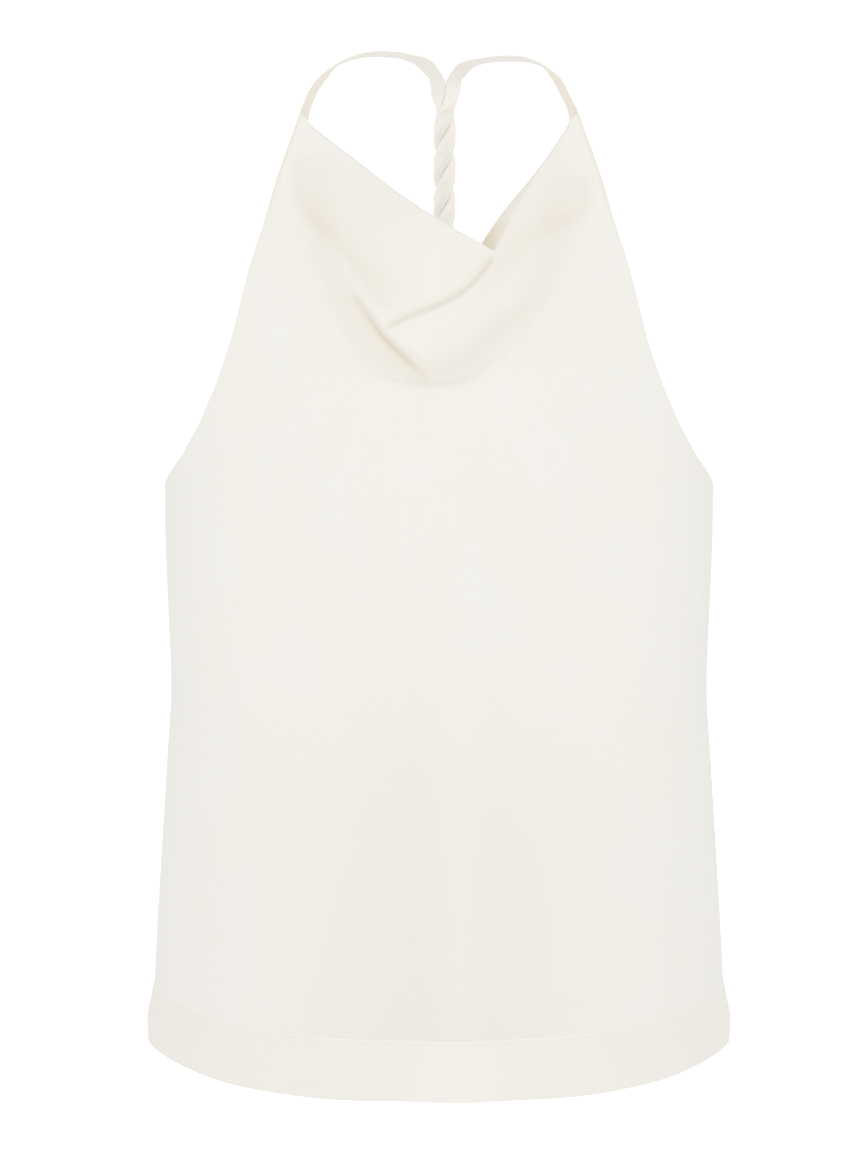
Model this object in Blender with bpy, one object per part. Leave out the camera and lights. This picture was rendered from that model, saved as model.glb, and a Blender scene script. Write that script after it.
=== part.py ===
"""Cowl neck halter blouse in satin, as it hangs when it is worn, in closed cloth walls.

Metres, +Z up. The front faces -Y, and +X is on the viewer's right. The origin lies between the two straps,
level with their highest point and above the line of the side seams.

A place on the body is given by its turn round the figure (0 at the centre front, a quarter turn at a side
seam) and its height. The neckline is slanted: its low point, the dip, lies right of the centre.
"""

import math

import bpy
import numpy as np

# Cloth and seams
PANEL_WALL = 0.0015
BAND_WALL = 0.0024
SEAM_GAP = 0.0003
LEAST_MITRE = 0.6

# Cut of the body
UNDERARM = -0.272
HEM_SEAM_SIDE = -0.5925
HEM_SEAM_FRONT = -0.6012
HEM_SIDE = -0.6325
HEM_FRONT = -0.6396
MEAN_RADIUS = 0.15

# A level section's fullness: near the bust a full oval, at the hem a lens that is pinched at the side seams
OVAL_FULLNESS = 0.15
LENS_POWER = 3.1
LENS_PINCH = 0.8
LENS_TOP = -0.300
LENS_FULL = -0.600

# The cloth's outline: height, half_width, front_depth, back_depth
FIGURE = (
    (-0.640, 0.1867, 0.1270, 0.1090),
    (-0.618, 0.1875, 0.1270, 0.1090),
    (-0.594, 0.1836, 0.1245, 0.1070),
    (-0.553, 0.1811, 0.1225, 0.1060),
    (-0.500, 0.1775, 0.1205, 0.1050),
    (-0.450, 0.1741, 0.1195, 0.1030),
    (-0.397, 0.1709, 0.1200, 0.1010),
    (-0.345, 0.1724, 0.1215, 0.1010),
    (-0.294, 0.1738, 0.1225, 0.1030),
    (-0.272, 0.1738, 0.1215, 0.1040),
    (-0.200, 0.1720, 0.1160, 0.1045),
    (-0.150, 0.1690, 0.1080, 0.1040),
    (-0.100, 0.1670, 0.0940, 0.1000),
    (-0.035, 0.1650, 0.0720, 0.0900),
)

# The front's armhole edge: height, half_width
ARMHOLE = (
    (-0.2720, 0.1738),
    (-0.2676, 0.1718),
    (-0.2527, 0.1618),
    (-0.2394, 0.1536),
    (-0.2265, 0.1465),
    (-0.2139, 0.1408),
    (-0.2015, 0.1354),
    (-0.1770, 0.1269),
    (-0.1526, 0.1205),
    (-0.1285, 0.1140),
    (-0.1043, 0.1060),
    (-0.0801, 0.0990),
    (-0.0559, 0.0906),
    (-0.0388, 0.0846),
)

# The neckline, from the strap seam to the dip: x, height
NECK_LEFT = (
    (-0.0796, -0.0428),
    (-0.0786, -0.0462),
    (-0.0663, -0.0560),
    (-0.0478, -0.0700),
    (-0.0236, -0.0884),
    (0.0004, -0.1040),
    (0.0242, -0.1175),
    (0.0335, -0.1226),
)
NECK_RIGHT = (
    (0.0335, -0.1226),
    (0.0394, -0.1112),
    (0.0457, -0.0982),
    (0.0536, -0.0845),
    (0.0646, -0.0682),
    (0.0734, -0.0548),
    (0.0784, -0.0468),
    (0.0794, -0.0426),
)

# Cells of the front, counted across: a strap seam, the neckline left of the dip, right of it, a strap seam
SEAM_CELLS = 1
LEFT_CELLS = 25
RIGHT_CELLS = 17
BODY_ROWS = 12
COWL_ROWS = 24
RETURN_ROWS = 2
BACK_CELLS = 28
BACK_ROWS = 10
BAND_ROWS = 3

# The neckline's turned-in edge: share of the top edge, then the bend's and the end's offset in x, y and height.
# It is a narrow turning on the left and an open roll on the right of the dip.
NECK_RETURN = (
    (0.00, 0.0000, 0.0022, 0.0002, 0.0000, 0.0044, 0.0000),
    (0.55, 0.0000, 0.0022, 0.0003, 0.0000, 0.0046, -0.0008),
    (0.62, -0.0040, 0.0040, 0.0005, -0.0130, 0.0095, -0.0045),
    (0.70, -0.0030, 0.0040, 0.0008, -0.0095, 0.0080, -0.0035),
    (0.80, -0.0010, 0.0030, 0.0008, -0.0035, 0.0062, -0.0020),
    (0.90, -0.0002, 0.0024, 0.0005, -0.0010, 0.0048, -0.0010),
    (1.00, 0.0000, 0.0022, 0.0002, 0.0000, 0.0044, 0.0000),
)

# The swag: how far the cowl hangs off the chest, inside a deep U under the neckline
SWAG_LIFT = 0.021
SWAG_HALF_WIDTH = 0.098
SWAG_TOP = -0.040
SWAG_FULL = -0.115
SWAG_ROLL_MIDDLE = 0.017
SWAG_ROLL_SIDE = 0.048
SWAG_SIDE_FADE = 1.3
SWAG_ROUNDNESS = 2.0
SWAG_CRISPNESS = 0.8
SWAG_EDGE = (
    (-0.0860, -0.0450),
    (-0.0915, -0.0680),
    (-0.0931, -0.0922),
    (-0.0909, -0.1223),
    (-0.0843, -0.1404),
    (-0.0735, -0.1603),
    (-0.0631, -0.1768),
    (-0.0518, -0.1906),
    (-0.0368, -0.1978),
    (-0.0206, -0.2014),
    (0.0004, -0.2026),
    (0.0190, -0.1990),
    (0.0352, -0.1876),
    (0.0501, -0.1774),
    (0.0639, -0.1679),
    (0.0743, -0.1560),
    (0.0881, -0.1253),
    (0.0910, -0.1012),
    (0.0905, -0.0700),
    (0.0860, -0.0450),
)

# The cowl's folds. A fold runs along its path of (x, height), is `depths` deep at its start, middle and end,
# falls away over `left` and `right` of the path, and has a raised lip on its right. A ridge has depths below 0.
FOLDS = (
    dict(
        name="crease under the upper flap",
        path=((-0.0292, -0.1668), (-0.0204, -0.1620), (-0.0086, -0.1573), (0.0033, -0.1525),
              (0.0152, -0.1454), (0.0241, -0.1365), (0.0300, -0.1288), (0.0330, -0.1225)),
        depths=(0.0050, 0.0045, 0.0020), left=0.010, right=0.0030, lip=0.0018,
    ),
    dict(
        name="deep crease",
        path=((-0.0020, -0.2015), (-0.0086, -0.1982), (-0.0205, -0.1863), (-0.0325, -0.1748),
              (-0.0420, -0.1626), (-0.0549, -0.1454)),
        depths=(0.0005, 0.0090, 0.0010), left=0.012, right=0.0035, lip=0.0020,
    ),
    dict(
        name="long valley on the left",
        path=((-0.0880, -0.0560), (-0.0883, -0.0844), (-0.0787, -0.0994), (-0.0625, -0.1147),
              (-0.0513, -0.1271), (-0.0406, -0.1383), (-0.0329, -0.1507)),
        depths=(0.0010, 0.0040, 0.0015), left=0.010, right=0.011, lip=0.0,
    ),
    dict(
        name="small ridge by the deep crease",
        path=((-0.0530, -0.1370), (-0.0420, -0.1510), (-0.0310, -0.1660)),
        depths=(-0.0005, -0.0016, -0.0010), left=0.006, right=0.006, lip=0.0,
    ),
    dict(
        name="ridge across the right side",
        path=((-0.0220, -0.1720), (0.0182, -0.1620), (0.0419, -0.1513), (0.0627, -0.1395),
              (0.0900, -0.1150)),
        depths=(-0.0016, -0.0022, -0.0005), left=0.014, right=0.015, lip=0.0,
    ),
    dict(
        name="valley across the right side",
        path=((0.0211, -0.1484), (0.0380, -0.1300), (0.0519, -0.1147), (0.0700, -0.1040),
              (0.0868, -0.0952), (0.0885, -0.0720)),
        depths=(0.0005, 0.0026, 0.0008), left=0.011, right=0.013, lip=0.0,
    ),
)

# Soft drapes of the body below the bust: x at the top, x at the hem, top height, full height, rise, half width
DRAPES = (
    (0.008, 0.011, -0.430, -0.560, 0.0022, 0.016),
    (-0.018, -0.024, -0.450, -0.570, -0.0020, 0.022),
    (0.040, 0.046, -0.450, -0.580, -0.0018, 0.022),
    (-0.105, -0.125, -0.380, -0.560, 0.0018, 0.022),
    (0.120, 0.135, -0.400, -0.560, 0.0016, 0.020),
)

# The back's top edge rises to a peak where the twisted straps are sewn on
BACK_PEAK = -0.2145
BACK_PEAK_SHARPNESS = 4

# The straps: x, y, height, the way the outer face looks (x, y, z), width, thickness
STRAP_LEFT = (
    (-0.0813, -0.0600, -0.0362, -0.40, -0.88, 0.25, 0.0078, 0.0021),
    (-0.0795, -0.0530, -0.0313, -0.50, -0.80, 0.35, 0.0088, 0.0022),
    (-0.0768, -0.0440, -0.0249, -0.54, -0.73, 0.42, 0.0100, 0.0022),
    (-0.0725, -0.0330, -0.0180, -0.56, -0.60, 0.56, 0.0108, 0.0022),
    (-0.0668, -0.0200, -0.0112, -0.62, -0.18, 0.76, 0.0104, 0.0020),
    (-0.0574, 0.0000, -0.0046, -0.45, 0.10, 0.88, 0.0100, 0.0018),
    (-0.0440, 0.0210, -0.0004, -0.22, 0.30, 0.93, 0.0100, 0.0018),
    (-0.0312, 0.0400, 0.0002, 0.00, 0.45, 0.90, 0.0100, 0.0020),
    (-0.0210, 0.0530, -0.0006, 0.25, 0.55, 0.80, 0.0100, 0.0022),
    (-0.0124, 0.0610, -0.0030, 0.35, 0.75, 0.55, 0.0102, 0.0022),
    (-0.0054, 0.0672, -0.0080, 0.25, 0.93, 0.25, 0.0102, 0.0024),
)
STRAP_RIGHT = (
    (0.0808, -0.0600, -0.0360, 0.40, -0.88, 0.25, 0.0078, 0.0021),
    (0.0786, -0.0530, -0.0313, 0.50, -0.80, 0.35, 0.0088, 0.0022),
    (0.0758, -0.0440, -0.0249, 0.54, -0.73, 0.42, 0.0100, 0.0022),
    (0.0726, -0.0330, -0.0180, 0.56, -0.60, 0.56, 0.0108, 0.0022),
    (0.0672, -0.0200, -0.0112, 0.62, -0.18, 0.76, 0.0104, 0.0020),
    (0.0588, 0.0000, -0.0056, 0.45, 0.10, 0.88, 0.0100, 0.0018),
    (0.0482, 0.0200, -0.0032, 0.22, 0.30, 0.93, 0.0100, 0.0018),
    (0.0370, 0.0380, -0.0028, 0.00, 0.45, 0.90, 0.0100, 0.0020),
    (0.0276, 0.0500, -0.0034, -0.25, 0.55, 0.80, 0.0100, 0.0022),
    (0.0200, 0.0590, -0.0050, -0.35, 0.75, 0.55, 0.0102, 0.0022),
    (0.0142, 0.0668, -0.0086, -0.25, 0.93, 0.25, 0.0102, 0.0024),
)
RIBBON_STEPS = 22
STRAP_SEAM_DEPTH = 0.0024
STRAP_SEAM_GAP = 0.00042

# The twist down the back: its axis, then the strands' size by the angle that they have turned
TWIST_AXIS = (
    (-0.2160, 0.0036, 0.1040),
    (-0.1600, 0.0038, 0.0995),
    (-0.1100, 0.0038, 0.0930),
    (-0.0600, 0.0038, 0.0840),
    (-0.0145, 0.0045, 0.0718),
)
TWIST_TOP = -0.0145
FIRST_CROSSING = -0.0374
HALF_TURN = 0.0236
TWIST_END = BACK_PEAK + SEAM_GAP
TWIST_STEP = math.radians(24)
STRAND_CLEARANCE = 0.0004
STRAND_SIDES = 10
STRAND_ROUNDNESS = 0.75
# angle in degrees, thickness from the axis outwards, width round the axis
STRANDS = (
    (-90, 0.0100, 0.0026),
    (-60, 0.0092, 0.0060),
    (0, 0.0062, 0.0122),
    (90, 0.0076, 0.0102),
    (1170, 0.0076, 0.0100),
    (1290, 0.0076, 0.0060),
    (1350, 0.0076, 0.0022),
)

IVORY = (0.86, 0.84, 0.78, 1.0)
SATIN_ROUGHNESS = 0.42


# Curves and tables


def smooth(table, at):
    """The table's columns at places in its first column, on a curve that never swings past its rows."""
    rows = np.array(sorted(table), float)
    places, values = rows[:, 0], rows[:, 1:]
    span = np.diff(places)
    slope = np.diff(values, axis=0) / span[:, None]
    before, after = slope[:-1], slope[1:]
    total = np.where(np.abs(before + after) > 0, before + after, 1.0)
    tangent = np.vstack([slope[:1], np.where(before * after > 0, 2 * before * after / total, 0), slope[-1:]])
    at = np.clip(np.asarray(at, float), places[0], places[-1])
    i = np.clip(np.searchsorted(places, at) - 1, 0, len(span) - 1)
    t = ((at - places[i]) / span[i])[..., None]
    wide = span[i][..., None]
    return (
        values[i] * (1 + 2 * t) * (1 - t) ** 2
        + values[i + 1] * (3 - 2 * t) * t**2
        + tangent[i] * wide * t * (1 - t) ** 2
        - tangent[i + 1] * wide * (1 - t) * t**2
    )


def curve(points, cells):
    """A smooth curve through the points, cut into even cells."""
    points = np.array(points, float)
    knots = np.vstack([2 * points[0] - points[1], points, 2 * points[-1] - points[-2]])
    t = np.linspace(0, 1, 24, endpoint=False)[:, None]
    pieces = []
    for a, b, c, d in zip(knots, knots[1:], knots[2:], knots[3:]):
        square = a - 2.5 * b + 2 * c - d / 2
        cube = 1.5 * (b - c) + (d - a) / 2
        pieces.append(b + (c - a) * t / 2 + square * t**2 + cube * t**3)
    dense = np.vstack([*pieces, points[-1:]])
    walked = np.concatenate([[0], np.cumsum(np.linalg.norm(np.diff(dense, axis=0), axis=1))])
    at = np.linspace(0, walked[-1], cells + 1)
    return np.stack([np.interp(at, walked, column) for column in dense.T], axis=1)


def ease(t):
    """0 below 0, 1 above 1, and a smooth step between."""
    t = np.clip(t, 0, 1)
    return t * t * (3 - 2 * t)


def beside(path, x, height):
    """Each place's distance from the path, positive on its right, and its share of the way along."""
    start, step = path[:-1], np.diff(path, axis=0)
    place = np.stack([x, height], axis=-1)[..., None, :] - start
    along = np.clip(np.sum(place * step, axis=-1) / np.sum(step**2, axis=-1), 0, 1)
    off = place - along[..., None] * step
    gap = np.linalg.norm(off, axis=-1)
    near = np.argmin(gap, axis=-1)[..., None]
    side = np.sign(step[:, 1] * off[..., 0] - step[:, 0] * off[..., 1])
    signed = np.take_along_axis(gap * side, near, axis=-1)[..., 0]
    share = (np.take_along_axis(along, near, axis=-1)[..., 0] + near[..., 0]) / len(step)
    return signed, share


# The front's form


def swag(x, height):
    """How far the cowl hangs off the chest: a full roll along the bottom of the U, dying out at its sides."""
    outside, _ = beside(curve(SWAG_EDGE, 60), x, height)
    sideways = np.clip(np.abs(x) / SWAG_HALF_WIDTH, 0, 1)
    roll = SWAG_ROLL_MIDDLE + (SWAG_ROLL_SIDE - SWAG_ROLL_MIDDLE) * sideways**2
    t = np.clip(-outside / roll, 0, 1)
    round_edge = 1 - (1 - t) ** SWAG_ROUNDNESS
    edge = round_edge + (ease(t) - round_edge) * np.maximum(sideways, 1 - SWAG_CRISPNESS)
    hang = ease((SWAG_TOP - height) / (SWAG_TOP - SWAG_FULL))
    return SWAG_LIFT * (1 - sideways**2) ** SWAG_SIDE_FADE * hang * edge


def fold(row, x, height):
    """How far one fold of the cowl goes in: a soft slope on its left, a short one on its right, then a lip."""
    signed, share = beside(curve(row["path"], 32), x, height)
    start, middle, end = row["depths"]
    depth = smooth(((0, start), (0.5, middle), (1, end)), share)[..., 0]
    left = np.clip(1 + signed / (3 * row["left"]), 0, 1) ** 3
    right = 1 - ease(signed / row["right"])
    lip = ease(signed / row["right"]) * np.clip(1 - (signed - row["right"]) / (5 * row["right"]), 0, 1) ** 2
    fade = np.sin(math.pi * np.clip(share, 0, 1)) ** 0.5
    return depth * np.where(signed < 0, left, right) - row["lip"] * fade * np.where(signed > 0, lip, 0)


def drapes(x, height):
    """The body's shallow upright waves, which open toward the hem."""
    rise = np.zeros_like(x)
    for top_x, hem_x, top, full, wave, half_width in DRAPES:
        down = np.clip((top - height) / (top - full), 0, 1.5)
        middle = top_x + (hem_x - top_x) * down
        rise += wave * ease(down) * np.exp(-(((x - middle) / half_width) ** 2))
    return rise


def section(turn, height):
    """The share of the full depth that the cloth reaches at a turn round a level section."""
    across = np.abs(np.sin(turn))
    oval = np.cos(turn) * (1 + OVAL_FULLNESS * across**2)
    lens = (1 - across**LENS_POWER) ** LENS_PINCH
    return oval + (lens - oval) * ease((LENS_TOP - height) / (LENS_TOP - LENS_FULL))


def front_face(girth, height):
    """Points of the front's outer face."""
    turn = girth / MEAN_RADIUS
    half_width, depth, _ = np.moveaxis(smooth(FIGURE, height), -1, 0)
    x = half_width * np.sin(turn)
    out = depth * section(turn, height) + swag(x, height) + drapes(x, height)
    for row in FOLDS:
        out = out - fold(row, x, height)
    return np.stack([x, -out - SEAM_GAP / 2, height], axis=-1)


def back_face(girth, height):
    """Points of the back's outer face."""
    turn = girth / MEAN_RADIUS
    half_width, _, depth = np.moveaxis(smooth(FIGURE, height), -1, 0)
    out = depth * section(turn, height)
    return np.stack([half_width * np.sin(turn), out + SEAM_GAP / 2, height], axis=-1)


def girth_of(x, height):
    """How far round the figure a place at x lies."""
    half_width = smooth(FIGURE, height)[..., 0]
    return MEAN_RADIUS * np.arcsin(np.clip(x / half_width, -1, 1))


def hem_drop(girth, side, middle):
    """The height of a level cut line, which hangs lower at the centre front."""
    return side + (middle - side) * np.cos(girth / MEAN_RADIUS) ** 2


def full_girth(cells):
    """Even steps from side seam to side seam."""
    return MEAN_RADIUS * np.linspace(-math.pi / 2, math.pi / 2, cells + 1)


def armhole_edge(cells):
    """The left armhole edge upward from the underarm, as girth and height in even steps."""
    heights, half_widths = np.array(ARMHOLE).T
    return curve(np.stack([girth_of(-half_widths, heights), heights], axis=1), cells)


def top_edge(fineness):
    """The front's top edge from the left strap seam over the dip to the right one, as girth and height."""
    apex_height, apex_half = ARMHOLE[-1]
    left = curve(NECK_LEFT, LEFT_CELLS * fineness)
    right = curve(NECK_RIGHT, RIGHT_CELLS * fineness)
    seam = SEAM_CELLS * fineness
    first = np.linspace((-apex_half, apex_height), left[0], seam + 1)
    last = np.linspace(right[-1], (apex_half, apex_height), seam + 1)
    edge = np.vstack([first, left[1:], right[1:], last[1:]])
    return np.stack([girth_of(edge[:, 0], edge[:, 1]), edge[:, 1]], axis=1)


def cowl_rows(top, side):
    """Rows of places between the underarm line, the armhole edges and the top edge.

    `top` runs from strap to strap and `side` up the left armhole edge. The rows rise with the armhole at the
    sides and in even steps in the middle.
    """
    across = np.linspace(0, 1, len(top))[None]
    even = np.linspace(0, 1, len(side))[:, None]
    climbed = ((side[:, 1] - UNDERARM) / (side[-1, 1] - UNDERARM))[:, None]
    up = climbed + (even - climbed) * np.sin(math.pi * across) ** 2
    height = UNDERARM + up * (top[:, 1] - UNDERARM)
    straight = (1 - even) * full_girth(len(top) - 1) + even * top[:, 0]
    pulled_in = side[:, :1] - straight[:, :1]
    return np.stack([straight + pulled_in * (1 - 2 * across), height], axis=-1)


def neck_return(edge, rows):
    """The rows that turn in from the neckline."""
    share = np.linspace(0, 1, len(edge))
    offsets = smooth(NECK_RETURN, share)
    bend, end = offsets[:, :3], offsets[:, 3:]
    t = np.linspace(0, 1, rows + 1)[1:, None, None]
    return edge[None] + 2 * t * (1 - t) * bend + t**2 * end


def front_grid(fineness=1):
    """The front's outer face in rows from the hem seam up, over the neckline and into its return."""
    cells = (2 * SEAM_CELLS + LEFT_CELLS + RIGHT_CELLS) * fineness
    girth = full_girth(cells)
    seam = hem_drop(girth, HEM_SEAM_SIDE, HEM_SEAM_FRONT)
    up = np.linspace(0, 1, BODY_ROWS * fineness + 1)[:, None]
    body = np.stack([np.broadcast_to(girth, (len(up), len(girth))), seam + (UNDERARM - seam) * up], axis=-1)
    cowl = cowl_rows(top_edge(fineness), armhole_edge(COWL_ROWS * fineness))
    places = np.vstack([body, cowl[1:]])
    face = front_face(places[..., 0], places[..., 1])
    return np.vstack([face, neck_return(face[-1], RETURN_ROWS * fineness)])


def back_grid(fineness=1):
    """The back's outer face in rows from the hem seam up to its peaked top edge."""
    girth = full_girth(BACK_CELLS * fineness)
    rise = np.cos(girth / MEAN_RADIUS) ** BACK_PEAK_SHARPNESS
    top = UNDERARM + (BACK_PEAK - UNDERARM) * rise
    up = np.linspace(0, 1, BACK_ROWS * fineness + 1)[:, None]
    return back_face(np.broadcast_to(girth, (len(up), len(girth))), HEM_SEAM_SIDE + (top - HEM_SEAM_SIDE) * up)


def band_grid(face, cells, seam_front, hem_front, fineness=1):
    """A hem band's outer face in rows from the hem up to the seam under a panel."""
    girth = full_girth(cells * fineness)
    seam = hem_drop(girth, HEM_SEAM_SIDE, seam_front) - SEAM_GAP
    hem = hem_drop(girth, HEM_SIDE, hem_front)
    up = np.linspace(0, 1, BAND_ROWS * fineness + 1)[:, None]
    return face(np.broadcast_to(girth, (len(up), len(girth))), hem + (seam - hem) * up)


# The straps' form


def seam_section(outer, inner):
    """The strap's first section, which lies along the front's top edge from its outer to its inner corner."""
    along_seam = inner - outer
    width = np.linalg.norm(along_seam)
    along_seam /= width
    inward = np.array((0.0, 1.0, 0.0))
    up = np.cross(along_seam, inward)
    up *= np.sign(up[2])
    centre = (outer + inner) / 2 + inward * STRAP_SEAM_DEPTH / 2 + up * STRAP_SEAM_GAP
    wide_way = along_seam * np.sign(along_seam[0])
    return centre[None], wide_way[None], -inward[None], np.array([[width, STRAP_SEAM_DEPTH]])


def ribbon_sections(stations):
    """Centre, width direction and face direction of a strap's sections from above its seam to the twist."""
    rows = curve(stations, RIBBON_STEPS)
    centre, look, sizes = rows[:, :3], rows[:, 3:6], rows[:, 6:]
    along = np.gradient(centre, axis=0)
    along /= np.linalg.norm(along, axis=1, keepdims=True)
    look = look - along * np.sum(look * along, axis=1, keepdims=True)
    look /= np.linalg.norm(look, axis=1, keepdims=True)
    return centre, np.cross(along, look), look, sizes


def strand_angle(height):
    """How far a strand has turned at a height: slowly down to the first crossing, evenly below it."""
    rate = math.pi / HALF_TURN
    drop = TWIST_TOP - FIRST_CROSSING
    t = (height - FIRST_CROSSING) / drop
    slow = -rate * drop * t + (rate * drop - math.pi / 2) * t**2
    return np.where(height > FIRST_CROSSING, slow, -rate * (height - FIRST_CROSSING))


def strand_sections(hand):
    """Centre, two directions and two sizes of a strand's level sections down the twist.

    The first direction passes through the twist's axis and the second runs round it.
    """
    heights = np.linspace(TWIST_TOP, TWIST_END, 4000)
    angles = strand_angle(heights)
    steps = round((angles[-1] - angles[0]) / TWIST_STEP)
    height = np.interp(np.linspace(angles[0], angles[-1], steps + 1), angles, heights)
    angle = strand_angle(height)
    thick, wide = smooth(STRANDS, np.degrees(angle)).T
    axis = smooth(TWIST_AXIS, height)
    through = np.stack([-np.sin(angle), -np.cos(angle), 0 * angle], axis=1)
    around = np.stack([np.cos(angle), -np.sin(angle), 0 * angle], axis=1)
    centre = np.column_stack([axis, height]) + hand * through * (thick / 2 + STRAND_CLEARANCE)[:, None]
    return centre, through, around, np.stack([thick, wide], axis=1)


def strap_rings(stations, hand, seam, sides=STRAND_SIDES):
    """The rings of one strap from the front's seam, over the shoulder and down the twist."""
    stretches = (seam_section(*seam), ribbon_sections(stations), strand_sections(hand))
    centre, wide_way, face_way, sizes = (np.vstack(parts) for parts in zip(*stretches))
    angle = np.arange(sides) * 2 * math.pi / sides
    wide = np.sign(np.cos(angle)) * np.abs(np.cos(angle)) ** STRAND_ROUNDNESS
    thick = np.sign(np.sin(angle)) * np.abs(np.sin(angle)) ** STRAND_ROUNDNESS
    width, thickness = sizes.T
    return (
        centre[:, None]
        + wide_way[:, None] * (width[:, None] / 2 * wide)[..., None]
        + face_way[:, None] * (thickness[:, None] / 2 * thick)[..., None]
    )


# Solids


def inward_steps(grid):
    """For each point of a grid of rows, the step inward that keeps a wall of thickness 1 even round its bends."""
    cell = np.cross(grid[:-1, 1:] - grid[1:, :-1], grid[1:, 1:] - grid[:-1, :-1])
    cell /= np.linalg.norm(cell, axis=-1, keepdims=True)
    ends = (slice(None, -1), slice(1, None))
    corners = [(rows, columns) for rows in ends for columns in ends]
    normals, count = np.zeros_like(grid), np.zeros(grid.shape[:2] + (1,))
    for corner in corners:
        normals[corner] += cell
        count[corner] += 1
    normals /= np.linalg.norm(normals, axis=-1, keepdims=True)
    facing = np.zeros_like(count)
    for corner in corners:
        facing[corner] += np.sum(normals[corner] * cell, axis=-1, keepdims=True)
    return -normals / np.clip(facing / count, LEAST_MITRE, 1)


def inner_face(grid, wall, side_rows, level_rows):
    """The wall's inner face: straight behind the outer one, and in the plane of each seam along the seams.

    The first `side_rows` rows end at the side seams, and the rows `level_rows` lie along the hem or its seam.
    """
    steps = inward_steps(grid)
    level = steps[level_rows]
    level[..., 2] = 0
    steps[level_rows] = level / np.linalg.norm(level, axis=-1, keepdims=True)
    sides = steps[:side_rows, [0, -1]]
    sides[..., 1] = 0
    steps[:side_rows, [0, -1]] = sides / np.linalg.norm(sides, axis=-1, keepdims=True)
    return grid + wall * steps


def wall_mesh(name, grid, wall, side_rows, level_rows):
    """A closed wall of even thickness behind the outer face `grid`, each cell cut along its shorter diagonal."""
    rows, columns, _ = grid.shape
    inner = inner_face(grid, wall, side_rows, level_rows)
    number = np.arange(rows * columns).reshape(rows, columns)
    behind = rows * columns
    faces = []
    for r in range(rows - 1):
        for c in range(columns - 1):
            a, b, d, e = number[r, c], number[r, c + 1], number[r + 1, c + 1], number[r + 1, c]
            rising = np.linalg.norm(grid[r, c] - grid[r + 1, c + 1])
            falling = np.linalg.norm(grid[r, c + 1] - grid[r + 1, c])
            halves = ((a, b, d), (a, d, e)) if rising < falling else ((a, b, e), (b, d, e))
            for half in halves:
                faces.append(half)
                faces.append(tuple(k + behind for k in reversed(half)))
    rim = [*number[0], *number[1:, -1], *number[-1, -2::-1], *number[-2:0:-1, 0]]
    for k, after in zip(rim, rim[1:] + rim[:1]):
        faces.append((after, k, k + behind, after + behind))
    return make_mesh(name, np.vstack([grid.reshape(-1, 3), inner.reshape(-1, 3)]), faces)


def tube_mesh(name, rings):
    """A closed tube through rings of points."""
    count, sides, _ = rings.shape
    faces = [tuple(range(sides)), tuple(range((count - 1) * sides, count * sides))[::-1]]
    for r in range(count - 1):
        for s in range(sides):
            nxt = (s + 1) % sides
            faces.append((r * sides + nxt, r * sides + s, (r + 1) * sides + s, (r + 1) * sides + nxt))
    return make_mesh(name, rings.reshape(-1, 3), faces)


def make_mesh(name, points, faces):
    mesh = bpy.data.meshes.new(name)
    mesh.from_pydata([tuple(map(float, p)) for p in points], [], [tuple(map(int, f)) for f in faces])
    mesh.shade_smooth()
    mesh.set_sharp_from_angle(angle=math.radians(60))
    return mesh


def satin(name):
    material = bpy.data.materials.new(name)
    material.use_nodes = True
    shader = material.node_tree.nodes["Principled BSDF"]
    shader.inputs["Base Color"].default_value = IVORY
    shader.inputs["Roughness"].default_value = SATIN_ROUGHNESS
    shader.inputs["Metallic"].default_value = 0.0
    return material


def add_piece(name, mesh):
    mesh.materials.append(satin(name + "_satin"))
    bpy.context.scene.collection.objects.link(bpy.data.objects.new(name, mesh))


def main():
    for old in list(bpy.data.objects):
        bpy.data.objects.remove(old, do_unlink=True)
    front_cells = 2 * SEAM_CELLS + LEFT_CELLS + RIGHT_CELLS
    front = front_grid()
    back = back_grid()[:, ::-1]
    front_band = band_grid(front_face, front_cells, HEM_SEAM_FRONT, HEM_FRONT)
    back_band = band_grid(back_face, BACK_CELLS, HEM_SEAM_SIDE, HEM_SIDE)[:, ::-1]
    add_piece("front_panel", wall_mesh("front_panel", front, PANEL_WALL, BODY_ROWS + 1, [0]))
    add_piece("back_panel", wall_mesh("back_panel", back, PANEL_WALL, BACK_ROWS + 1, [0]))
    add_piece("hem_band_front", wall_mesh("hem_band_front", front_band, BAND_WALL, BAND_ROWS + 1, [0, -1]))
    add_piece("hem_band_back", wall_mesh("hem_band_back", back_band, BAND_WALL, BAND_ROWS + 1, [0, -1]))
    top = front[BODY_ROWS + COWL_ROWS]
    left_seam = (top[0], top[SEAM_CELLS])
    right_seam = (top[-1], top[-1 - SEAM_CELLS])
    straps = (
        ("strap_left", STRAP_LEFT, -1, left_seam),
        ("strap_right", STRAP_RIGHT, 1, right_seam),
    )
    for name, stations, hand, seam in straps:
        add_piece(name, tube_mesh(name, strap_rings(stations, hand, seam)))


main()
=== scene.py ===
# %% [markdown]
# # A cowl neck halter blouse in ivory satin
#
# The blouse is a sleeveless top of soft satin. Its front falls from two narrow straps into a slanted cowl,
# its hem is a wide turned band, and the straps twist round each other down the open back. It keeps the
# shape that it has on a wearer, with nobody in it.
#
# The solids of the blouse are already made, with thick rigid walls. This file dresses them: each solid is
# replaced by a thin sheet of cloth on the same form, cut much finer, with its folds, turned edges and
# stitches. All sizes are in metres. The front faces -Y, up is +Z, and the origin lies between the straps.

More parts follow.
